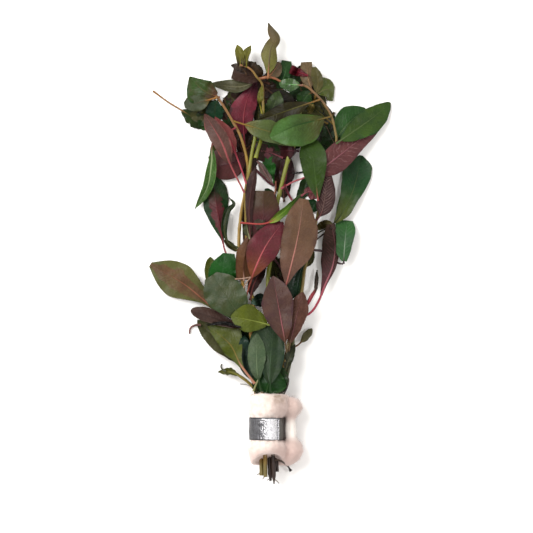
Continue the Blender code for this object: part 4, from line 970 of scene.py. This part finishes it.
def make_stem_finish(name, foot_colour, low, high, tip_colour, end_share):
    """A stem material that changes from its cut end to its tip."""
    material, tree, shader = new_material(name, Specular_IOR_Level=0.35)
    _, share_along, _ = parts_of(on_map(tree, SHARE_MAP))
    streaks = cloud(moved(on_map(tree, SIZE_MAP), Scale=STREAK_SCALE), 1.0, detail=4.0, roughness=0.6)
    blotch = cloud(on_object(tree), STEM_GRAIN)
    colour = mix(fade(share_along, 0.25, 0.62), leaf_shade(low), leaf_shade(high))
    colour = mix(fade(share_along, 0.80, 0.97), colour, leaf_shade(tip_colour))
    cut_end = fade(share_along, end_share, end_share + CUT_FADE, 1.0, 0.0)
    colour = mix(cut_end, colour, leaf_shade(foot_colour))
    tone = plus(calc("MULTIPLY_ADD", streaks, 0.7, 0.45), times(minus(blotch, 0.5), 0.5))
    surface(shader, toned(colour, tone), fade(streaks, 0.2, 0.8, 0.36, 0.56), streaks, STEM_BUMP, 0.8)
    return material


# %% Stem builder
STEM_SIDES = 20
STEM_STEP = 0.9 * MM
STEM_STATIONS = 70
STEM_SEAM = 0.005 * MM
NODE_GAP = 19 * MM
NODE_SWELL = 0.16
NODE_LENGTH = 1.3 * MM
NODE_SHIFT = 0.37
RIBS = 4
RIB_TWIST = 3
RIB_DEPTH = 0.035
WOBBLE = 0.05
WOBBLE_LENGTH = 6 * MM
FRAY = 1.1 * MM
POINT_LENGTH = 3.8 * MM


def stem(name, knots, radius, hues, end_share=0.03, taper=0.85, point=0.0):
    """Build one stem over its solid. hues are its colours from cut end to tip, and point is the share of
    its width lost towards the cut end."""
    curve, lengths = smooth_route(knots)
    length = lengths[-1]
    shares = np.linspace(0, 1, STEM_STATIONS)
    middle = along(curve, lengths, shares)[:, None, :].repeat(len(COLUMNS), axis=1)
    tops = on_solid(name, middle)[:, MIDDLE]
    seed = seed_of(name)

    def wall(u, share):
        angle = 2 * math.pi * u
        size = radius * MM * (1 + (taper - 1) * share)
        size *= 1 - point * max(0.0, 1 - share * length / POINT_LENGTH)
        from_node = abs((share * length / NODE_GAP + NODE_SHIFT * (seed % 7)) % 1 - 0.5) * NODE_GAP
        swell = 1 + NODE_SWELL * math.exp(-(from_node / NODE_LENGTH) ** 2)
        ribs = 1 + RIB_DEPTH * math.cos(RIBS * angle + RIB_TWIST * share)
        wobble = 1 + WOBBLE * noise.noise(Vector((seed, share * length / WOBBLE_LENGTH, 0.5)))
        reach = size * swell * ribs * wobble
        right = to_the_right(curve, lengths, share)
        spot = along(curve, lengths, share) + right * reach * math.cos(angle)
        if share < 0.5 * STEM_STEP / length:
            fray = 0.5 + noise.noise(Vector((seed, 3 * math.cos(angle), math.sin(angle))))
            spot = spot - np.array([-right[1], right[0]]) * FRAY * fray
        centre = float(np.interp(share, shares, tops)) - size
        return (Vector((*spot, centre + reach * math.sin(angle))), (u, share),
                (angle * radius, share * length / MM))

    bm = bmesh.new()
    close_tube(bm, bent_grid(bm, STEM_SIDES, round(length / STEM_STEP), wall), STEM_SIDES, STEM_SEAM)
    piece = finished(bm, f"{name}_skin", [make_stem_finish(f"{name} skin", *hues.split(), end_share)])
    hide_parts(name)


# %% Stems
stem("stem_right_short", [(277, 470), (275.6, 455), (275.2, 430), (276, 412), (279, 398), (285.5, 380),
     (289.5, 362), (292.5, 345), (293, 334)], 1.25, "#3c2a20 #565a38 #5c6038 #6a6c40", end_share=0.12,
     point=0.35)
stem("stem_left", [(262, 474), (260.5, 440), (259, 418), (256.5, 398), (254.5, 370), (252, 340), (247, 310),
     (243, 285), (239, 245), (241, 215), (245, 193), (248, 172), (246, 155), (240, 135), (233, 122),
     (226, 110), (220, 101), (216, 96)], 1.15, "#8c7c44 #c49040 #b08c3a #a07448", end_share=0.02, taper=0.62)
stem("stem_centre", [(270.5, 479), (269, 440), (268.5, 418), (268.5, 398), (270, 360), (270, 320), (268, 282),
     (270, 262), (274, 235), (277, 205), (280, 192), (284, 175), (289, 157), (294, 145), (298, 128),
     (300, 108)], 1.25, "#3a2a20 #908a2e #8c9030 #828a32", end_share=0.06, point=0.5)
stem("stem_centre_left", [(265.5, 475), (264.7, 440), (264, 418), (263, 398), (261, 370), (258, 340),
     (252.5, 300), (248, 262), (246.8, 235), (246, 205), (248, 180), (250, 165), (252.5, 150), (255, 138),
     (256.5, 127)], 1.05, "#8a7a40 #a88434 #a08634 #8c9434", end_share=0.02)
stem("stem_right", [(274, 482), (272.7, 440), (272.7, 418), (274.5, 398), (281, 376), (286, 356), (291, 333),
     (298, 310), (302, 290), (304.5, 270), (308, 255), (313, 235), (320, 205), (330, 170), (336, 143),
     (335, 131), (331, 116), (324, 104), (316, 95), (308, 88), (301.5, 85)], 1.15,
     "#3c2a20 #8a7640 #948040 #94704c", end_share=0.06, taper=0.5, point=0.72)
stem("stem_crown", [(256, 157), (258, 150), (261.5, 138), (263.5, 120), (263, 100), (263, 90), (261.5, 83),
     (257, 78), (252.5, 71.5), (247, 67.5), (240, 65.5)], 0.95, "#969c34 #7c822c #9a7c3e #b0784e",
     end_share=0, taper=0.5)

# %% [markdown]
# ## Bare petioles and roots
#
# Some petioles have lost their blades or reach a leaf out of sight. They are the same tube, thin and with
# no nodes. The same helper makes the dark root and the root hairs at the cut ends.

# %% Thin stalks
STALK_STEP = 0.8 * MM
STALK_SEAM = 0.004 * MM
STALK_TAPER = 0.35
KNOB_SHARE = 0.10


def stalk(name, knots, radius, lies, colour, end_colour=None, knob=0.0):
    """A bare petiole or root. lies is a run of heights in mm, or one that it lies under on the pile."""
    curve, lengths = smooth_route(knots)
    shares = np.linspace(0, 1, STATIONS)
    if isinstance(lies, tuple):
        heights = np.interp(shares, np.linspace(0, 1, len(lies)), lies) * MM
    else:
        spots = along(curve, lengths, shares)[:, None, :].repeat(len(COLUMNS), axis=1)
        heights = on_pile(lies * MM, spots)[:, 0] + radius * MM

    def wall(u, s):
        angle = 2 * math.pi * u
        size = radius * MM * (1 - STALK_TAPER * s) * (1 + knob * math.exp(-((1 - s) / KNOB_SHARE) ** 2))
        spot = along(curve, lengths, s) + to_the_right(curve, lengths, s) * size * math.cos(angle)
        return (Vector((*spot, float(np.interp(s, shares, heights)) + size * math.sin(angle))), (u, s),
                (angle * radius, s * lengths[-1] / MM))

    bm = bmesh.new()
    rings = max(6, round(lengths[-1] / STALK_STEP))
    close_tube(bm, bent_grid(bm, TUBE_SIDES, rings, wall), TUBE_SIDES, STALK_SEAM)
    end_colour = end_colour or colour
    skin = make_stem_finish(f"{name} skin", colour, colour, end_colour, end_colour, 0.0)
    finished(bm, name, [skin])


stalk("shoot_crown_side", [(258, 79.5), (268, 77.5), (275, 79), (281, 82)], 0.85, (8.6, 9.4, 9.2, 8.8),
      "#b8744c", "#a86a48")
stalk("petiole_left_bare", [(201, 325), (196, 325), (190.5, 328), (189.5, 334)], 0.7, 4, "#6a4038", "#84504a")
stalk("petiole_centre_red", [(256, 170), (262, 176), (268, 182), (274, 186)], 0.75, 8, "#6a343c")
stalk("petiole_centre_pink", [(257, 161), (262, 168), (267, 176), (273, 184)], 0.5, 9, "#a87c78")
stalk("petiole_centre_orange", [(276, 181), (275.5, 190), (273, 200.5)], 0.65, 12, "#a8604e", "#c8896c")
stalk("petiole_centre_crimson", [(284, 184), (287, 191), (292, 200.5)], 0.85, 9, "#8c3844", "#a84858")
stalk("petiole_dark_twig", [(303, 172), (297, 173), (292, 173.5)], 0.5, 9, "#2c261e")
stalk("petiole_middle_mauve", [(272, 256), (278, 264), (284, 274)], 0.6, 14, "#845058")
stalk("petiole_right_dark", [(335, 224), (326, 232), (316, 240)], 0.6, 9, "#44302a")
stalk("petiole_right_thin", [(326, 126), (330, 134), (334, 143)], 0.4, 10, "#6a5a44")
stalk("petiole_brown_fork", [(235, 279), (243, 278.5), (251, 277)], 0.42, (11.4, 12.2, 13.8), "#b48a74",
      "#c09c88")
stalk("petiole_brown_stub", [(251, 277), (247, 282), (243.5, 288)], 0.42, (13.8, 13, 12.6), "#b48a74",
      "#c09c88")
stalk("petiole_right_small", [(306, 250), (315, 250.3), (324, 252), (336, 262), (343, 264)], 0.75,
      (6, 4, 2.5, 2.5, 3.5), "#4c2c30")
stalk("stub_fork", [(226, 371), (222, 369), (221, 366), (222, 364)], 0.55, 9, "#4c5034")
stalk("stalk_foot_pale", [(253.5, 391), (256, 384), (260, 376)], 0.6, (14, 15.2, 15), "#a8a86c", "#c0c088")
stalk("petiole_foot_dark", [(283, 395), (287, 387), (288.5, 379), (285, 373)], 0.5, (11.5, 12.5, 12),
      "#2c2a20", "#3c3828")
stalk("hair_foot", [(240, 384), (246, 384.5), (252, 387)], 0.16, (0.4, 0.4, 6), "#7c7468")
stalk("root_dark", [(275, 459), (281, 460.5), (287, 465), (291, 471)], 0.62, (12.5, 11.5, 7, 3.5), "#4a3626",
      "#2c221a", knob=1.3)
HAIR_ENDS = [((262, 470), (256.5, 475)), ((264, 474), (262.5, 479)), ((271, 476), (267, 480)),
             ((273, 478), (279, 483))]
HAIR_RADIUS = 0.28
HAIR_BEND = 0.8
for k, (start, end) in enumerate(HAIR_ENDS):
    middle = ((start[0] + end[0]) / 2 + HAIR_BEND, (start[1] + end[1]) / 2)
    stalk(f"root_hair_{k + 1}", [start, middle, end], HAIR_RADIUS, (9.5, 8.0, 7.0), "#6a5238")
print("stems, petioles and roots built")

# %% [markdown]
# ## Filter wool
#
# The wool is a strip of soft white fibre, rolled round the stems, pinched in by the lead and bulging on
# both sides of it, with its loose end standing out at the right. The solid has a channel for the stems, but
# real wool closes round them, so the channel is plugged first, and so is the crease beside the lead. A
# voxel remesh turns solid and plugs into one skin, smoothing rounds it, and noise pushes it into tufts with
# pleats that gather towards the lead.

# %% Wool skin
WAIST = (place((0, 417.2))[1], place((0, 439.8))[1])
WAIST_MIDDLE = (WAIST[0] + WAIST[1]) / 2
WOOL_AXIS = Vector((place((266.5, 0))[0], 0, 10.1 * MM))
BROWN_PATCH_SPOT = (*place((278, 394)), 17 * MM)
DENT_PAINTED_PALER = (*place((293, 429)), 9 * MM)
WOOL_GRAIN = dict(wisps=2600, crossing=2200, tufts=330)
WOOL_BUMP = 0.35 * MM


def near(where, spot, inside, outside, amount):
    """An amount inside one distance of a spot, fading to nothing at another."""
    away = add(where.id_data, "ShaderNodeVectorMath", {"operation": "DISTANCE"})
    put(away.inputs[0], where)
    put(away.inputs[1], spot)
    return fade(away.outputs["Value"], inside, outside, amount, 0.0)


def make_wool_finish():
    material, tree, shader = new_material("filter wool", Sheen_Weight=0.35, Sheen_Roughness=0.6,
                                          Specular_IOR_Level=0.1)
    where = on_object(tree)
    wisps = moved(where, Rotation=(0.3, 0.2, 0.7), Scale=(1.0, 0.28, 1.0))
    crossing = moved(where, Rotation=(1.1, 0.4, -0.6), Scale=(0.3, 1.0, 0.8))
    hair = calc("MAXIMUM", cloud(wisps, WOOL_GRAIN["wisps"], detail=5.0, roughness=0.7),
                cloud(crossing, WOOL_GRAIN["crossing"], detail=4.0, roughness=0.7))
    tufts = cloud(where, WOOL_GRAIN["tufts"], detail=4.0, roughness=0.6)
    from_left, lengthwise, _ = parts_of(where)
    colour = mix(fade(tufts, 0.30, 0.70), shade("#c9bab1"), shade("#ded7d1"))
    colour = mix(fade(hair, 0.45, 0.75, 0.30, 0.0), colour, shade("#c9b0a6"))
    # Painted shade: the right side of the roll, away from the window lamp, is painted darker and pinker.
    painted_shade_right = fade(from_left, WOOL_AXIS.x - 2 * MM, WOOL_AXIS.x + 9 * MM, 0.0, 0.9)
    colour = mix(painted_shade_right, colour, shade("#ab968f"))
    # Painted shade: the end of the roll beyond the lead, towards the cut stem ends, is painted darker and
    # pinker too.
    colour = mix(fade(lengthwise, WAIST[1] - 9 * MM, WAIST[1], 0.55, 0.0), colour, shade("#b89e97"))
    # A darker brown patch at the top of the roll, where the stems go in.
    brown_patch = times(near(where, BROWN_PATCH_SPOT, 1 * MM, 8 * MM, 0.95), fade(tufts, 0.3, 0.6, 1.0, 0.4))
    colour = mix(brown_patch, colour, shade("#7a6753"))
    # The dent between the two ends of the tail is painted paler, taking the painted shade of the right side
    # back off it.
    colour = mix(near(where, DENT_PAINTED_PALER, 3 * MM, 8 * MM, 0.8), colour, shade("#dcd8d2"))
    surface(shader, colour, 0.95, plus(times(hair, 0.5), times(tufts, 1.3)), WOOL_BUMP, 0.9)
    return material


wool_finish = make_wool_finish()


# %% Wool roll
WOOL_VOXEL = 0.55 * MM
WOOL_ROUNDING = 16
WELD = 0.01 * MM
TUFT = 0.42 * MM
PLEAT = 0.22 * MM
PLEAT_COUNT = 15
GATHER = 3.2 * MM
UNDER_LEAD_TO = 9.5 * MM
UNDER_LEAD_CALM = 0.15
END_HOLLOW = 1.6 * MM
CHANNEL_PLUG = (8.8 * MM, 5.2 * MM)
CREASE_PLUG = (1.9 * MM, 3.5 * MM)
CREASE = Vector((WOOL_AXIS.x + 11.3 * MM, WAIST_MIDDLE, 6.6 * MM))
CREASE_OVERLAP = 4 * MM
OPENING = 4.2 * MM
OPENING_HALF_WIDTH = 7.0 * MM
OPENING_MIDDLE = place((269, 0))[0]
OPENING_ROWS = (place((0, 444))[1], place((0, 460))[1])
LOWER_LIP = 2.0 * MM
LEAST_WOOL_HEIGHT = 0.05 * MM


def add_plug(bm, centre, half_sizes, length):
    """A round plug along the bunch."""
    plug = bmesh.ops.create_cone(bm, cap_ends=True, segments=24, radius1=1.0, radius2=1.0, depth=1.0)["verts"]
    bmesh.ops.rotate(bm, verts=plug, cent=(0, 0, 0), matrix=Euler((math.pi / 2, 0, 0)).to_matrix())
    bmesh.ops.scale(bm, verts=plug, vec=(half_sizes[0], length, half_sizes[1]))
    bmesh.ops.translate(bm, verts=plug, vec=centre)


def under_lead(spot):
    """Whether a spot of the wool lies under the lead strip."""
    return WAIST[1] < spot.y < WAIST[0] and spot.x < WOOL_AXIS.x + UNDER_LEAD_TO


def rounded(bm, rounds):
    for _ in range(rounds):
        bmesh.ops.smooth_vert(bm, verts=bm.verts, factor=0.5, use_axis_x=True, use_axis_y=True,
                              use_axis_z=True)


def one_skin(bm):
    """Voxels turn overlapping bodies into one closed skin."""
    raw = set_out("wool raw", mesh_from(bm, "wool"))
    remesh = raw.modifiers.new("one skin", "REMESH")
    remesh.mode = "VOXEL"
    remesh.voxel_size = WOOL_VOXEL
    skin = bpy.data.meshes.new_from_object(raw.evaluated_get(bpy.context.evaluated_depsgraph_get()))
    bpy.data.objects.remove(raw)
    joined = bmesh.new()
    joined.from_mesh(skin)
    return joined


def build_wool():
    low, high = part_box("wool_wrap")
    bm = bmesh.new()
    bm.from_mesh(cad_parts["wool_wrap"].data)
    bmesh.ops.remove_doubles(bm, verts=bm.verts, dist=WELD)
    channel = WOOL_AXIS + Vector((0, (low.y + high.y) / 2, 0))
    add_plug(bm, channel, CHANNEL_PLUG, high.y - low.y - 2 * END_HOLLOW)
    add_plug(bm, CREASE, CREASE_PLUG, WAIST[0] - WAIST[1] + CREASE_OVERLAP)
    bm = one_skin(bm)
    rounded(bm, WOOL_ROUNDING)
    bm.normal_update()
    moves = {}
    for corner in bm.verts:
        spot = corner.co
        off = spot - WOOL_AXIS
        tuft = noise.fractal(spot * 210, 0.9, 2.0, 4) * TUFT
        to_waist = min(abs(spot.y - WAIST[0]), abs(spot.y - WAIST[1]))
        pleat = math.sin(PLEAT_COUNT * math.atan2(off.z, off.x) + 3 * noise.noise(spot * 150)) * PLEAT
        pleat *= math.exp(-(to_waist / GATHER) ** 2)
        moves[corner] = corner.normal * ((tuft + pleat) * (UNDER_LEAD_CALM if under_lead(spot) else 1.0))
    for corner, move in moves.items():
        near_end = np.clip((OPENING_ROWS[0] - corner.co.y) / (OPENING_ROWS[0] - OPENING_ROWS[1]), 0, 1)
        over = np.clip((corner.co.z - WOOL_AXIS.z + 3 * MM) / (6 * MM), 0, 1)
        beside = math.exp(-((corner.co.x - OPENING_MIDDLE) / OPENING_HALF_WIDTH) ** 4)
        corner.co += move
        corner.co.y += near_end ** 2 * (over * beside * OPENING - (1 - over) * LOWER_LIP)
        corner.co.z = max(corner.co.z, LEAST_WOOL_HEIGHT)
    rounded(bm, 1)
    print(f"wool skin: {len(bm.faces)} faces")
    return finished(bm, "wool_roll", [wool_finish], smooth=math.pi)


wool_roll = build_wool()
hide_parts("wool_wrap")

# %% [markdown]
# ## Loose fibres
#
# Wool has no hard outline: fine fibres stand off it all round. Each is a thin bent strip of a few faces,
# rooted on the skin and leaning to one side. A seeded generator scatters them, so every run gives the same
# fluff.

# %% Fibres
FIBRE_COUNT = 5200
FIBRE_LENGTH = (1.2 * MM, 3.4 * MM)
FIBRE_RISE = (0.10, 0.42)
FIBRE_WIDTH = 0.045 * MM
FIBRE_CURL = 0.5
FIBRE_TAPER = 0.7
FIBRE_ROOT = 0.1 * MM
LEAST_FIBRE_HEIGHT = 0.06 * MM


def build_fibres():
    scatter = np.random.default_rng(7)
    faces = [face for face in wool_roll.data.polygons if not under_lead(face.center)]
    areas = np.array([face.area for face in faces])
    bm = bmesh.new()
    for k in scatter.choice(len(faces), FIBRE_COUNT, p=areas / areas.sum()):
        face = faces[k]
        out = face.normal.normalized()
        lean = Vector(scatter.normal(size=3))
        lean -= out * lean.dot(out)
        lean.normalize()
        length = scatter.uniform(*FIBRE_LENGTH)
        rise = scatter.uniform(*FIBRE_RISE)
        side = out.cross(lean) * FIBRE_WIDTH / 2
        curl = scatter.normal() * FIBRE_CURL
        for corner in bmesh.ops.create_grid(bm, x_segments=1, y_segments=4, size=1.0)["verts"]:
            s = (corner.co.y + 1) / 2
            turn = lean + out.cross(lean) * curl * s
            lift = rise * length * math.sin(math.pi * (0.15 + 0.6 * s)) - FIBRE_ROOT
            spot = Vector(face.center) + turn * length * s + out * lift
            spot.z = max(spot.z, LEAST_FIBRE_HEIGHT)
            corner.co = spot + side * corner.co.x * (1 - FIBRE_TAPER * s)
    print(f"fibres: {len(bm.faces)} faces")
    finished(bm, "wool_fibres", [wool_finish], smooth=math.pi)


build_fibres()

# %% [markdown]
# ## Lead strip
#
# The strip is soft sheet lead, bent once round the wool with its end lapped over. A grid is rolled up along
# a spiral that rises by the strip's own thickness where it laps, then it gets its wall. Fingers leave lead
# full of shallow dents, so the surface is dented before it gets its thickness. Its skin is dull, with
# bright scuffs. A bright patch, ragged and speckled, is a painted highlight where a lamp is reflected, and
# the dark lines along both rims are partly the cut edges and partly painted shadow.

# %% Lead finish
# Where the painted highlight lies: a bright patch standing in for the reflection of a lamp.
PAINTED_HIGHLIGHT_MIDDLE = place((272, 0))[0]
PAINTED_HIGHLIGHT_HALF_WIDTH = (3.0 * MM, 5.0 * MM)
RAGGED_BY = 20 * MM
DULL_FROM = (place((278.5, 0))[0], place((280, 0))[0])
RIM_EDGE_AND_SHADE = (WAIST[0] - WAIST_MIDDLE - 0.75 * MM, WAIST[0] - WAIST_MIDDLE - 0.25 * MM)
LEAD_GRAIN = dict(tarnish=260, fine=1500, scuffs=1700, highlight_speckles=1900)
LEAD_BUMP = 0.20 * MM


def make_lead_finish():
    material, tree, shader = new_material("soft lead", Metallic=1.0)
    where = on_object(tree)
    from_left, lengthwise, _ = parts_of(where)
    tarnish = cloud(where, LEAD_GRAIN["tarnish"], detail=5.0, roughness=0.6)
    grain = cloud(where, LEAD_GRAIN["fine"], detail=4.0, roughness=0.7)
    rubbed_way = moved(where, Rotation=(0.0, 0.0, 0.5), Scale=(1.0, 0.08, 1.0))
    scuffs = cloud(rubbed_way, LEAD_GRAIN["scuffs"], detail=4.0)
    colour = mix(fade(tarnish, 0.35, 0.65), shade("#3f3f41"), shade("#58585b"))
    colour = mix(fade(scuffs, 0.56, 0.68), colour, shade("#7c7c82"))
    # Painted highlight: a bright patch with ragged edges and dark speckles stands in for a lamp's reflection.
    off_painted_highlight = plus(calc("ABSOLUTE", minus(from_left, PAINTED_HIGHLIGHT_MIDDLE)), times(minus(grain, 0.5), RAGGED_BY))
    highlight_speckles = fade(cloud(where, LEAD_GRAIN["highlight_speckles"], roughness=0.8), 0.50, 0.62, 1.0, 0.25)
    colour = mix(times(fade(off_painted_highlight, *PAINTED_HIGHLIGHT_HALF_WIDTH, 1.0, 0.0), highlight_speckles), colour, shade("#dadade"))
    colour = mix(fade(from_left, *DULL_FROM), colour, shade("#555350"))
    # Dark lines along both rims: partly the strip's cut edge, partly painted shadow where it presses into the
    # wool.
    off_middle = calc("ABSOLUTE", minus(lengthwise, WAIST_MIDDLE))
    colour = mix(fade(off_middle, *RIM_EDGE_AND_SHADE), colour, shade("#2e2e30"))
    roughness = fade(plus(tarnish, times(grain, 0.5)), 0.5, 1.0, 0.34, 0.50)
    surface(shader, colour, roughness, plus(times(tarnish, 1.6), times(grain, 1.3)), LEAD_BUMP, 0.8)
    return material


# %% Lead strip
LEAD_WALL = 0.55 * MM
LEAD_RADIUS = 9.40 * MM
LEAD_LAP_RISE = 0.62 * MM
LEAD_FROM = math.radians(-35)
LEAD_TO = math.radians(360 + 46)
LEAD_RISE_OVER = math.radians(28)
LEAD_ACROSS = 26
LEAD_LENGTHWISE = 190
LEAD_SKEW = 0.35 * MM
LEAD_BEVEL = 0.12 * MM
DENT = 0.16 * MM
EDGE_ROLL = 0.18 * MM


def lead_ribbon(u, s):
    angle = LEAD_FROM + (LEAD_TO - LEAD_FROM) * s
    under_lap = np.clip((LEAD_TO - 2 * math.pi + LEAD_RISE_OVER - angle) / LEAD_RISE_OVER, 0, 1)
    way = Vector((math.cos(angle), 0, math.sin(angle)))
    y = WAIST[1] + (WAIST[0] - WAIST[1]) * u + 0.6 * LEAD_SKEW * math.sin(angle * 0.5)
    spot = Vector((WOOL_AXIS.x, y, WOOL_AXIS.z)) + way * (LEAD_RADIUS - LEAD_LAP_RISE * under_lap)
    dent = noise.noise(spot * 260) * DENT + noise.noise(spot * 620) * DENT * 0.5
    return spot + way * (dent - EDGE_ROLL * abs(2 * u - 1) ** 6), (u, s), (u * 12, s * 60)


def build_lead():
    bm = bmesh.new()
    bent_grid(bm, LEAD_ACROSS, LEAD_LENGTHWISE, lead_ribbon)
    bmesh.ops.recalc_face_normals(bm, faces=bm.faces)
    bmesh.ops.solidify(bm, geom=list(bm.faces), thickness=LEAD_WALL)
    bmesh.ops.recalc_face_normals(bm, faces=bm.faces)
    rims = [edge for edge in bm.edges
            if len(edge.link_faces) == 2 and edge.calc_face_angle(0) > math.radians(60)]
    bmesh.ops.bevel(bm, geom=rims, offset=LEAD_BEVEL, offset_type="OFFSET", segments=2, profile=0.5,
                    affect="EDGES", material=-1, clamp_overlap=True)
    piece = finished(bm, "lead_band", [make_lead_finish()])
    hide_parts("lead_strip")
    print(f"lead strip: {len(piece.data.polygons)} faces")


build_lead()

# %% [markdown]
# ## Floor, light and camera
#
# The bunch lies on plain white and is lit softly from the upper left, so faint warm shadows fall to the
# lower right. A large area lamp gives the direction and the world fills the rest. The camera looks straight
# down from far off, because the plan was read that way.

# %% Floor
FLOOR_HALF_WIDTH = 2.0
bm = bmesh.new()
bmesh.ops.create_grid(bm, x_segments=1, y_segments=1, size=FLOOR_HALF_WIDTH)
floor = set_out("floor", mesh_from(bm, "floor"))
floor.data.materials.append(new_material("white surface", Base_Color=(0.86, 0.86, 0.855, 1), Roughness=0.9,
                                         Specular_IOR_Level=0.1)[0])

# %% Light
WORLD_LIGHT = 1.1
OVERHEAD_SHARE = 0.3
DAYLIGHT = (1.0, 0.965, 0.93, 1)
scene = bpy.context.scene
scene.view_settings.view_transform = "Standard"
world = bpy.data.worlds.new("studio")
world.use_nodes = True
sky = world.node_tree
upward = parts_of(add(sky, "ShaderNodeTexCoord").outputs["Generated"])["Z"]
put(sky.nodes["Background"].inputs["Color"], DAYLIGHT)
put(sky.nodes["Background"].inputs["Strength"],
    fade(upward, 0.80, 0.97, WORLD_LIGHT, OVERHEAD_SHARE * WORLD_LIGHT))
scene.world = world


def lamp(name, at, aim, size, power, colour=(1, 1, 1)):
    """A round lamp, sizes in metres and power in watts."""
    data = bpy.data.lights.new(name, "AREA")
    data.shape = "DISK"
    data.size = size
    data.energy = power
    data.color = colour
    made = set_out(name, data)
    made.location = at
    made.rotation_euler = (Vector(aim) - Vector(at)).to_track_quat("-Z", "Y").to_euler()


lamp("window", (-0.75, 0.55, 1.0), (0, 0, 0), 1.0, 26.0, (1.0, 0.985, 0.96))
lamp("ceiling lamp", (0.75, -0.10, 1.45), (0, -0.1, 0), 0.25, 7.0)

# %% Camera
FRAME_STEPS = 533
CAMERA_HEIGHT = 4.0
SENSOR = 36.0
camera_data = bpy.data.cameras.new("camera")
camera_data.sensor_width = SENSOR
camera_data.lens = SENSOR * CAMERA_HEIGHT / (FRAME_STEPS * PLAN_STEP)
camera = set_out("camera", camera_data)
camera.location = (*place((FRAME_STEPS / 2, FRAME_STEPS / 2)), CAMERA_HEIGHT)
scene.camera = camera
print(f"camera {CAMERA_HEIGHT} m above the surface, lens {camera_data.lens:.0f} mm")
